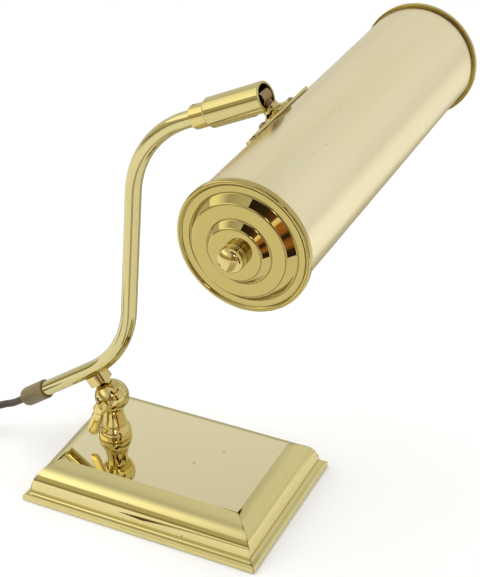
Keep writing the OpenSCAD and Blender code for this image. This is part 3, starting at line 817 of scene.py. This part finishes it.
def felt_shape():
    """A pad of felt with a soft, slightly uneven edge."""
    x = BASE_LEN / 2 - FELT_MARGIN
    y = BASE_WID / 2 - FELT_MARGIN
    step = 2.0
    corners = [Vector(p) for p in ((x, y), (-x, y), (-x, -y), (x, -y))]
    outline = []
    for start, end in zip(corners, corners[1:] + corners[:1]):
        count = max(2, round((end - start).length / step))
        for k in range(count):
            p = start + (end - start) * k / count
            pull = 0.25 * (0.5 + noise.noise(Vector((p[0] * 0.3, p[1] * 0.3, 0))))
            outline.append(p * (1 - pull / p.length))
    rows = []
    for z, inset in ((0.0, 0.5), (0.25, 0.1), (0.9, 0.0), (FELT_H, 0.25)):
        rows.append([(*(p * (1 - inset / p.length)), z) for p in outline])
    return lofted(rows)


felt = piece("felt_sole", felt_shape(), LAMP, "base", mat_felt, ["felt_pad"])


# ---------- column ----------

FOOT_TOP_R = 9.7
foot_low = BASE_TOP + 0.1
foot_high = foot_low + FOOT_H
foot_dome = [(foot_low + 1 + 9 * sin_of(a), FOOT_R - 3.6 * (1 - cos_of(a))) for a in range(0, 73, 6)]
foot_profile = filleted(
    [(foot_low, 4.2), (foot_low, FOOT_R - 0.6)] + foot_dome
    + [(foot_high - 1.2, FOOT_TOP_R), (foot_high, FOOT_TOP_R), (foot_high, 4.2)], 0.5)
piece("foot_brass", lathe(foot_profile, ring=True), COLUMN, "base", mat_turned, ["column_foot"])

POST_NECK_R = 8
post_low = BASE_TOP + FOOT_H + 0.2
neck_top = BALL_Z - math.sqrt(BALL_R ** 2 - POST_NECK_R ** 2)
post_profile = [(post_low, 0), (post_low, 9.0), (post_low + 0.15, 9.45), (post_low + 0.5, FOOT_TOP_R)]
post_profile += [(post_low + 1 + t / 12 * (neck_top - post_low - 1), POST_NECK_R + 1.7 * (1 - t / 12) ** 2)
                 for t in range(13)]
ball_start = 180 - math.degrees(math.asin(POST_NECK_R / BALL_R))
for k in range(1, 48):
    a = ball_start * (1 - k / 48)
    post_profile.append((BALL_Z + BALL_R * cos_of(a), BALL_R * sin_of(a)))
post_profile.append((BALL_Z + BALL_R, 0))
slot_cut = cross_bar(BALL_R + 0.2, BALL_Z, SLOT_W / 2, 192)
screw_hole = cross_bar(2.6, BALL_Z, 25)
piece("post_brass", lathe(post_profile), COLUMN, "base", mat_turned, ["pivot_post"],
      cutters=[slot_cut, screw_hole])


EAR_LEN = 25
EAR_LEAN = 20
EAR_AT = 18.3
SCREW_R = 2.5
HUB_R = 5.0
HUB_END = 22.0
SCREW = frame_at((COLUMN_X * MM, 0, BALL_Z * MM), (-sin_of(EAR_LEAN), 0, -cos_of(EAR_LEAN)), (0, -1, 0))


def wing_shape():
    """The thumb screw's one ear, from its hub out to a rounded tip, X along it and Y away from the ball."""
    sides = 40
    steps = 24
    tip_start = EAR_LEN - 2.0
    tip_len = 6.7
    rows = []
    for i in range(steps + 1):
        x = i / steps * (tip_start + tip_len)
        tip = max(0.0, (x - tip_start) / tip_len)
        ease = math.sqrt(max(0.0, 1 - tip * tip))
        wide = (3.4 + 1.35 * math.sin(min(1, x / 15) * math.pi / 2)) * max(ease, 0.08)
        thick = (1.8 - 0.3 * min(1, x / EAR_LEN)) * max(ease, 0.12)
        row = []
        for k in range(sides):
            a = 2 * math.pi * k / sides
            y = math.copysign(abs(math.cos(a)) ** 0.75, math.cos(a)) * thick
            z = math.copysign(abs(math.sin(a)) ** 0.85, math.sin(a)) * wide
            row.append((x, EAR_AT + y, z))
        rows.append(row)
    return lofted(rows)


hub = filleted([(-12.4, 0), (-12.4, SCREW_R), (13.9, SCREW_R), (13.9, HUB_R - 0.6), (14.9, HUB_R),
                (HUB_END - 1.4, HUB_R), (HUB_END, 3.6), (HUB_END, 0)], 0.8)
hub_shape = moved(lathe(hub, 64), Matrix.Rotation(math.pi / 2, 4, "Z"))
piece("thumb_screw_brass", joined(hub_shape, wing_shape()), SCREW, "thumbscrew", mat_screw, ["thumb_screw"],
      sharp=40)


# ---------- arm ----------

def arm_line(steps=40):
    """The tube's centre line, in millimetres."""
    lower_cut = LOWER_BEND_R * math.tan(math.radians(RISER_SLOPE - REAR_SLOPE) / 2)
    upper_cut = UPPER_BEND_R * math.tan(math.radians(RISER_SLOPE - HEAD_SLOPE) / 2)
    lower_centre = LOWER_CORNER - lower_cut * heading(REAR_SLOPE) + LOWER_BEND_R * left_of(REAR_SLOPE)
    upper_centre = UPPER_CORNER - upper_cut * heading(RISER_SLOPE) - UPPER_BEND_R * left_of(RISER_SLOPE)
    lower = arc(lower_centre, LOWER_BEND_R, REAR_SLOPE - 90, RISER_SLOPE - 90, steps)
    upper = arc(upper_centre, UPPER_BEND_R, RISER_SLOPE + 90, HEAD_SLOPE + 90, steps)
    end = UPPER_CORNER + (COLLAR_END - 1) * heading(HEAD_SLOPE)
    line = [Vector(p) for p in [tuple(REAR_END)] + lower + upper + [tuple(end)]]
    spaced = [line[0]]
    for a, b in zip(line, line[1:]):
        count = max(1, round((b - a).length / 6))
        spaced += [a + (b - a) * k / count for k in range(1, count + 1)]
    return [(p[0], 0, p[1]) for p in spaced]


piece("arm_brass", swept(arm_line(), TUBE_R, 96, hint=(0, 1, 0)), LAMP, "arm", mat_brass, ["arm_tube"],
      sharp=60)

BUSHING_HOLE_R = 3.1
bushing_end = BUSHING_LEN - BUSHING_LAP
bushing_tip = [(bushing_end - 5 + 5 * sin_of(a), BUSHING_R - 3.6 * (1 - cos_of(a))) for a in range(0, 91, 10)]
bushing_profile = filleted(
    [(0, 3.2), (0, 6.05), (-BUSHING_LAP, 6.05), (-BUSHING_LAP, BUSHING_R - 0.6),
     (-BUSHING_LAP + 0.6, BUSHING_R)] + bushing_tip
    + [(bushing_end, BUSHING_HOLE_R), (0, BUSHING_HOLE_R)], 0.3)
piece("bushing_brown", lathe(bushing_profile, 96, ring=True), REAR, "arm", mat_bushing, ["cord_bushing"])

collar_profile = filleted(
    [(COLLAR_START, 6.05), (COLLAR_START, 8.5), (COLLAR_END, 8.5), (COLLAR_END, 5.1),
     (COLLAR_END - 1, 5.1), (COLLAR_END - 1, 6.05)], 0.45)
GRUB_AT = COLLAR_START + 3
GRUB_R = 1.5
upright = Matrix.Translation((GRUB_AT, 0, 0)) @ Matrix.Rotation(-math.pi / 2, 4, "Y")
collar_hole = moved(lathe([(4, 0), (4, GRUB_R + 0.1), (14, GRUB_R + 0.1), (14, 0)], 48), upright)
piece("collar_brass", lathe(collar_profile, ring=True), HEAD, "arm", mat_turned, ["swivel_collar"],
      cutters=[collar_hole])

grub = moved(lathe(filleted([(6.1, 0), (6.1, GRUB_R), (8.3, GRUB_R), (8.3, 0)], 0.2), 48), upright)
driver_slot = block((GRUB_AT - 3, -0.25, 7.6), (GRUB_AT + 3, 0.25, 10))
piece("collar_screw_black", grub, HEAD, "arm", mat_black, ["collar_screw"],
      cutters=[driver_slot])


# ---------- head ----------

housing_profile = filleted(
    [(HOUSING_START, 5.1), (HOUSING_START, HOUSING_R - 1.0), (HOUSING_START + 1.2, HOUSING_R),
     (MOUTH_AT, HOUSING_R), (MOUTH_AT, HOUSING_R - 2), (HOUSING_START + 3, HOUSING_R - 2),
     (HOUSING_START + 3, 5.1)], 0.5)
fold_slot = block((PIN_AT - 7.6, -6.3, -14), (PIN_AT + 20, 6.3, -3))
piece("housing_brass", lathe(housing_profile, ring=True), HEAD, "head", mat_housing, ["swivel_housing"],
      cutters=[fold_slot])

# The pin ends inside the wall, because no end of it shows on the polished housing.
PIN_R = 2
PIN_HALF = 8.45
PIN_EASE = 0.15
pin_path = [(PIN_AT, y, 0) for y in (-PIN_HALF, PIN_EASE - PIN_HALF, PIN_HALF - PIN_EASE, PIN_HALF)]
pin_radii = [PIN_R - PIN_EASE, PIN_R, PIN_R, PIN_R - PIN_EASE]
piece("pin_brass", swept(pin_path, pin_radii, 48, hint=(1, 0, 0)), HEAD, "head", mat_housing, ["knuckle_pin"])


# ---------- neck and bracket ----------

STRIP_IN = SHEET_R + 0.1
STRIP_OUT = STRIP_IN + 1.6
NECK_FOOT = STRIP_OUT + 0.1 + 1 + 0.02

THREAD_R = 4.0
THREAD_PITCH = 1.1
LINK_BORE_R = 2.65
LINK_LOW = 35.5
EYE_R = 5.6
EYE_HALF = 5.8
LINK_HIGH = SHADE_REACH - 4.6

thread = [(LINK_LOW, LINK_BORE_R), (LINK_LOW, THREAD_R)]
x = NECK_FOOT + 6.2
while x < LINK_HIGH - 0.8:
    thread += [(x, 3.95), (x + 0.3, 4.4), (x + 0.5, 4.4), (x + 0.8, 3.95)]
    x += THREAD_PITCH
thread += [(LINK_HIGH, THREAD_R), (LINK_HIGH, LINK_BORE_R)]
eye = []
for y, radius in ((-EYE_HALF, 0.93 * EYE_R), (0.4 - EYE_HALF, EYE_R), (EYE_HALF - 0.4, EYE_R),
                  (EYE_HALF, 0.93 * EYE_R)):
    turns = [2 * math.pi * k / 64 for k in range(64)]
    eye.append([(SHADE_REACH + radius * math.cos(a), y, radius * math.sin(a)) for a in turns])
piece("link_brass", joined(lathe(thread, 64, ring=True), lofted(eye)), BRACKET, "shade", mat_aged,
      ["knuckle_link"])

NECK_R = 6
NECK_H = 5.6
FLARE_R = 11
flare = [(NECK_FOOT + 0.3 + t / 12 * 3.2, NECK_R + (FLARE_R - NECK_R) * (1 - t / 12) ** 2) for t in range(13)]
neck_profile = filleted(
    [(NECK_FOOT, THREAD_R + 0.05), (NECK_FOOT, FLARE_R)] + flare
    + [(NECK_FOOT + NECK_H - 0.4, NECK_R), (NECK_FOOT + NECK_H, NECK_R - 0.4),
       (NECK_FOOT + NECK_H, THREAD_R + 0.05)], 0.3)
piece("neck_brass", lathe(neck_profile, ring=True), BRACKET, "shade", mat_turned, ["tulip_neck"])
flange_low = STRIP_OUT + 0.1
flange_high = flange_low + 1
flange = filleted([(flange_low, 4.1), (flange_low, FLARE_R), (flange_high, FLARE_R), (flange_high, 4.1)], 0.3)
piece("flange_brass", lathe(flange, ring=True), BRACKET, "shade", mat_turned, ["flange_washer"])

strip_outline = arc((36, 0), 6, -90, 90, 16) + arc((-36, 0), 6, 90, 270, 16)
piece("strip_brass", slab(strip_outline, STRIP_IN, STRIP_OUT), BRACKET, "shade", mat_turned,
      ["bracket_strip"])

SCREW_AT = 20
HEAD_R = 3.4
HEAD_H = 2.4
head_low = STRIP_OUT + 0.02
head_dome = [(head_low + HEAD_H * sin_of(a), HEAD_R * cos_of(a)) for a in range(0, 81, 8)]
screw_profile = [(35.6, 0), (35.6, 1.5), (head_low, 1.5)] + head_dome + [(head_low + HEAD_H, 0)]
screws = []
slots = []
for y in (-SCREW_AT, SCREW_AT):
    screws.append(moved(lathe(screw_profile, 64), Matrix.Translation((0, y, 0))))
    slots.append(block((head_low + 1.4, y - 0.4, -5), (head_low + 5, y + 0.4, 5)))
piece("bracket_screw_heads", joined(*screws), BRACKET, "shade", mat_aged, ["bracket_screws"],
      cutters=[joined(*slots)])


# ---------- shade ----------

def sheet_section(radius, steps=160):
    """Points round the sheet: a round with a flat band beside each edge of its opening."""
    start = -BAND_FROM - BAND_TURN
    end = -2 * OPEN_MID + BAND_FROM + BAND_TURN + 360
    drop = SHEET_R - radius
    flat = SHEET_R * cos_of(BAND_TURN / 2) - drop
    middles = (-(BAND_FROM + BAND_TURN / 2), -2 * OPEN_MID + BAND_FROM + BAND_TURN / 2 + 360)
    points = []
    for i in range(steps + 1):
        a = start + (end - start) * i / steps
        r = radius
        for middle in middles:
            lean = cos_of(a - middle)
            if lean > 0:
                r = min(r, flat / lean)
        points.append((r * cos_of(a), r * sin_of(a)))
    return points


def sheet_shape():
    """The rolled sheet from cap to cap, with its thickness."""
    outside = sheet_section(SHEET_R)
    inside = list(reversed(sheet_section(SHEET_R - SHEET_WALL)))
    section = outside + inside
    count = len(section)
    low = -FRONT_REACH + 1
    high = REAR_REACH - 1
    rows = 24
    verts = []
    for i in range(rows + 1):
        y = low + (high - low) * i / rows
        verts += [(px, y, pz) for px, pz in section]
    faces = walls(rows + 1, count)
    for start, flip in ((0, False), (rows * count, True)):
        for k in range(len(outside) - 1):
            quad = [start + k, start + k + 1, start + count - 2 - k, start + count - 1 - k]
            faces.append(list(reversed(quad)) if flip else quad)
    return verts, faces


piece("shade_sheet", sheet_shape(), SHADE, "shade", mat_sheet, ["shade_shell"], sharp=40)

CAP_WALL = 0.8
STEP_H = 5.6
DISH_TOP = 10.3
BEAD_R = 1.6
cap_outside = [(DISH_TOP, 2.6), (DISH_TOP, 16.9), (STEP_H, 20.8), (STEP_H, 30.3), (0, 34.9), (0, 39.4)]
rim_bead = [(-0.4 + BEAD_R * sin_of(a), CAP_R - BEAD_R + BEAD_R * cos_of(a)) for a in range(150, -1, -10)]
cap_inside = [(-SKIRT_LEN, CAP_R - CAP_WALL), (-1.2, CAP_R - CAP_WALL), (-CAP_WALL, 39.4), (-CAP_WALL, 34.5),
              (STEP_H - CAP_WALL, 29.9), (STEP_H - CAP_WALL, 20.4), (DISH_TOP - CAP_WALL, 16.5),
              (DISH_TOP - CAP_WALL, 2.6)]
cap_profile = filleted(cap_outside + rim_bead + [(-SKIRT_LEN, CAP_R)] + cap_inside, 1.1, 6)
cap_shape = lathe(cap_profile, 192, ring=True)
for end, place in (("front", FRONT_CAP), ("rear", REAR_CAP)):
    piece(f"{end}_cap_brass", cap_shape, place, "shade", mat_cap_painted_dark, [f"{end}_cap"], sharp=40)

KNOB_R = 8.2
knob_low = DISH_TOP + 0.1


def knob_profile(stud_low):
    """A knob with two turned grooves and a domed end, on a stud that starts at stud_low."""
    body = [(stud_low, 0), (stud_low, 2.5), (knob_low, 2.5), (knob_low, KNOB_R)]
    for at in (1.6, 3.2):
        groove = knob_low + at
        body += [(groove, KNOB_R), (groove + 0.3, KNOB_R - 0.3), (groove + 0.6, KNOB_R)]
    dome = [(knob_low + 5.4 + 5.2 * sin_of(a), KNOB_R * cos_of(a)) for a in range(0, 90, 5)]
    return filleted(body, 0.3, 3) + dome + [(knob_low + 10.6, 0)]


piece("front_knob_brass", lathe(knob_profile(3), 96), FRONT_CAP, "shade", mat_turned, ["front_finial"])
piece("switch_knob_brass", lathe(knob_profile(-8), 96), REAR_CAP, "switch", mat_turned, ["switch_knob"])


# ---------- CAD nodes that stay, with better finishes ----------

finishes = (
    (mat_steel, "base_rod base_washer base_nut swivel_stub stub_nut"),
    (mat_steel, "bracket_nuts nipple_nut finial_nut bulb_cap"),
    (mat_iron, "base_weight"), (mat_turned, "tilt_tongue"), (mat_cord, "arm_flex shade_flex"),
    (mat_bakelite, "switch_block lampholder"), (mat_glass, "bulb_glass"), (mat_lead_glass, "bulb_filament"),
)
for material, names in finishes:
    for name in names.split():
        obj = nodes[name]
        obj.data.materials.clear()
        obj.data.materials.append(material)
        smooth(obj)


# ---------- floor, light ----------

def emitter(name, place, target, size, power):
    """A white square light that lights the lamp but isn't reflected in its brass."""
    data = bpy.data.lights.new(name, "AREA")
    data.shape = "SQUARE"
    data.size = size
    data.energy = power
    lamp = in_scene(name, data)
    lamp.location = place
    lamp.rotation_euler = (Vector(place) - Vector(target)).to_track_quat("Z", "Y").to_euler()
    lamp.visible_glossy = False


def plain(name, colour):
    """A matt surface with hardly any change of tone."""
    material, tree, shader, place = new_material(name)
    fix(shader, "Roughness", 0.9)
    tone = noise_of(tree, place, 3, 2)
    light = tuple(min(1, 1.01 * c) for c in colour)
    feed(shader, "Base Color", mixed(tree, tone, colour, light))
    return material


def add_floor():
    """A plain pale floor, 10 m square."""
    half = 5.0
    mesh = bpy.data.meshes.new("floor")
    corners = [(-half, -half, 0), (half, -half, 0), (half, half, 0), (-half, half, 0)]
    mesh.from_pydata(corners, [], [[0, 1, 2, 3]])
    mesh.materials.append(plain("floor_pale", (0.93, 0.93, 0.92)))
    in_scene("floor", mesh)


def within(tree, value, low, high, soft, soft_high=None):
    """1 where a value is between low and high, with soft edges."""
    rise = tree.nodes.new("ShaderNodeMapRange")
    fall = tree.nodes.new("ShaderNodeMapRange")
    for node, at, ease, start, end in ((rise, low, soft, 0, 1), (fall, high, soft_high or soft, 1, 0)):
        node.interpolation_type = "SMOOTHSTEP"
        tree.links.new(value, node.inputs["Value"])
        fix(node, "From Min", at - ease)
        fix(node, "From Max", at + ease)
        fix(node, "To Min", start)
        fix(node, "To Max", end)
    return times(tree, rise.outputs[0], fall.outputs[0])


def towards(tree, direction, x, y):
    """How far a direction's heading agrees with a compass heading, from -1 to 1."""
    flat = Vector((x, y)).normalized()
    a = times(tree, direction[0], flat[0])
    b = times(tree, direction[1], flat[1])
    level = maths(tree, "SQRT", minus(tree, 1.0001, maths(tree, "POWER", direction[2], 2)))
    return maths(tree, "DIVIDE", maths(tree, "ADD", a, b), level)


def room_tone(tree, height):
    """The white room, a little dimmer between its walls and its ceiling."""
    return ramp(tree, height, [(0.0, 0.76), (0.25, 0.84), (0.6, 0.82), (0.72, 0.66), (0.80, 0.64),
                               (0.93, 0.82), (1.0, 0.82)])


def add_world():
    """An even pale room, which lights the lamp and shows behind it."""
    world = bpy.data.worlds.new("studio")
    scene.world = world
    world.use_nodes = True
    sky = world.node_tree
    height = axes(sky, sky.nodes.new("ShaderNodeTexCoord").outputs["Generated"])[2]
    background = sky.nodes["Background"]
    sky.links.new(room_tone(sky, maths(sky, "ABSOLUTE", height)), background.inputs["Color"])
    fix(background, "Strength", 1.0)


def glowing_stage(name, verts, faces, material_name):
    """A glowing stage piece that only reflections show: its mesh, its node tree and the colour to fill in."""
    material = bpy.data.materials.new(material_name)
    material.use_nodes = True
    tree = material.node_tree
    tree.nodes.remove(tree.nodes["Principled BSDF"])
    glow = tree.nodes.new("ShaderNodeEmission")
    tree.links.new(glow.outputs[0], tree.nodes["Material Output"].inputs["Surface"])
    mesh = bpy.data.meshes.new(name)
    mesh.from_pydata(verts, [], faces)
    mesh.materials.append(material)
    obj = in_scene(name, mesh)
    obj.visible_camera = False
    obj.visible_diffuse = False
    obj.visible_shadow = False
    obj.visible_transmission = False
    return mesh, tree, glow.inputs["Color"]


def add_dome():
    """What the brass reflects: the room, two dim bands low in front, a window, a stand and a bright lamp."""
    radius = 4.8
    sides = 48
    rings = 16
    dome = []
    for i in range(rings + 1):
        up = math.radians(0.15 + 89 * i / rings)
        for k in range(sides):
            turn = 2 * math.pi * k / sides
            dome.append((radius * math.cos(up) * math.cos(turn), radius * math.cos(up) * math.sin(turn),
                         radius * math.sin(up)))
    top = [rings * sides + k for k in range(sides)]
    _, tree, colour = glowing_stage("dome", dome, walls(rings + 1, sides) + [top], "dome_room")
    centred = tree.nodes.new("ShaderNodeVectorMath")
    centred.operation = "NORMALIZE"
    tree.links.new(tree.nodes.new("ShaderNodeTexCoord").outputs["Object"], centred.inputs[0])
    direction = axes(tree, centred.outputs[0])
    room = room_tone(tree, direction[2])
    front = within(tree, towards(tree, direction, -0.3, -1), 0.35, 3, 0.25)
    for band_top, tone in ((0.34, (0.58, 0.52, 0.34)), (0.13, (0.36, 0.30, 0.19))):
        low = within(tree, direction[2], -0.5, band_top, 0.03)
        room = mixed(tree, times(tree, front, low), room, tone)
    window = ((-0.88, -0.48), 0.80, 0.08, (0.36, 0.64, 0.02, 0.16), (1.6, 1.58, 1.42))
    stand = ((0.40, -0.92), 0.95, 0.02, (0.10, 0.70, 0.03, 0.03), (0.30, 0.21, 0.13))
    lamp = ((0.54, -0.84), 0.996, 0.002, (0.56, 0.66, 0.02, 0.02), (6.0, 5.9, 5.6))
    for (x, y), least, soft, heights, tone in (window, stand, lamp):
        share = times(tree, within(tree, towards(tree, direction, x, y), least, 3, soft),
                      within(tree, direction[2], *heights))
        room = mixed(tree, share, room, tone)
    tree.links.new(room, colour)


def add_flag():
    """A dark screen with brown bands that arches over from the right, which only the brass sees."""
    centre = Vector((0.125, -0.13, 0.31))
    reach = 0.74
    half = 0.13
    arch = [(0.873, -0.284, -0.397), (0.921, -0.387, -0.055), (0.828, -0.462, 0.319),
            (0.593, -0.495, 0.635), (0.20, -0.48, 0.85), (-0.08, -0.42, 0.90)]
    line = [centre + reach * Vector(p).normalized() for p in curve_through(arch, 6)]
    verts = []
    for i, p in enumerate(line):
        along = (line[min(i + 1, len(line) - 1)] - line[max(i - 1, 0)]).normalized()
        side = along.cross((p - centre).normalized())
        verts += [p - side * half, p + side * half]
    faces = [[2 * i, 2 * i + 1, 2 * i + 3, 2 * i + 2] for i in range(len(line) - 1)]
    mesh, tree, colour = glowing_stage("flag", verts, faces, "flag_brown")
    share = mesh.attributes.new("along", "FLOAT", "POINT")
    share.data.foreach_set("value", [(i // 2) / (len(line) - 1) for i in range(len(verts))])
    place = tree.nodes.new("ShaderNodeTexCoord").outputs["Object"]
    along = tree.nodes.new("ShaderNodeAttribute")
    along.attribute_name = "along"
    wobble = times(tree, minus(tree, noise_of(tree, place, 9, 2), 0.5), 0.16)
    patch = ramp(tree, maths(tree, "ADD", along.outputs["Fac"], wobble),
                 [(0.0, (0.03, 0.02, 0.015)), (0.13, (0.06, 0.04, 0.03)), (0.18, (0.50, 0.20, 0.06)),
                  (0.28, (0.44, 0.16, 0.05)), (0.31, (0.05, 0.03, 0.02)), (0.36, (0.05, 0.03, 0.02)),
                  (0.40, (0.55, 0.22, 0.07)), (0.50, (0.55, 0.22, 0.07)), (0.52, (1.3, 1.2, 0.9)),
                  (0.56, (1.3, 1.2, 0.9)), (0.58, (0.22, 0.09, 0.04)), (0.72, (0.05, 0.035, 0.025)),
                  (1.0, (0.03, 0.02, 0.015))])
    tree.links.new(patch, colour)


def table_patch(name, start, heading_xy, rows, stops):
    """A patch just over the table that only the brass sees, shaded along its length.

    rows are (distance from the start, half width) pairs, in metres.
    """
    ahead = Vector(heading_xy).normalized()
    aside = Vector((ahead[1], -ahead[0]))
    lift = 0.0004
    verts = []
    for reach, half in rows:
        middle = Vector(start) + ahead * reach
        verts += [(*(middle - aside * half), lift), (*(middle + aside * half), lift)]
    faces = [[2 * i, 2 * i + 1, 2 * i + 3, 2 * i + 2] for i in range(len(rows) - 1)]
    _, tree, colour = glowing_stage(name, verts, faces, name + "_tone")
    y = axes(tree, tree.nodes.new("ShaderNodeTexCoord").outputs["Object"])[1]
    tree.links.new(ramp(tree, maths(tree, "ABSOLUTE", y), stops), colour)


add_floor()
add_world()
add_dome()
add_flag()
# In the brass, the table looks dark just in front of the base and pale further off and behind.
table_patch("front_patch", ((COLUMN_X - 9) * MM, 0), (0.40, -0.92),
            [(0.102, 0.015), (0.13, 0.019), (0.3, 0.07), (0.8, 0.22), (1.5, 0.5)],
            [(0.09, (0.10, 0.055, 0.03)), (0.112, (0.14, 0.08, 0.045)), (0.135, (0.55, 0.50, 0.38)),
             (1.0, (0.68, 0.65, 0.56))])
table_patch("rear_patch", (0.05, 0.10), (-0.43, 0.90), [(0.0, 0.30), (0.5, 0.45), (1.5, 0.9)],
            [(0.1, (0.52, 0.49, 0.42)), (1.0, (0.66, 0.63, 0.55))])
emitter("top_light", (-0.3, -0.2, 1.9), (0, 0, 0.1), 1.8, 12.5)
emitter("left_light", (-1.5, -0.9, 1.3), (0, 0, 0.2), 1.2, 7.5)
emitter("right_light", (1.6, 0.6, 1.5), (0, 0, 0.2), 1.2, 6.5)

scene.view_settings.view_transform = "Standard"
scene.view_settings.look = "None"
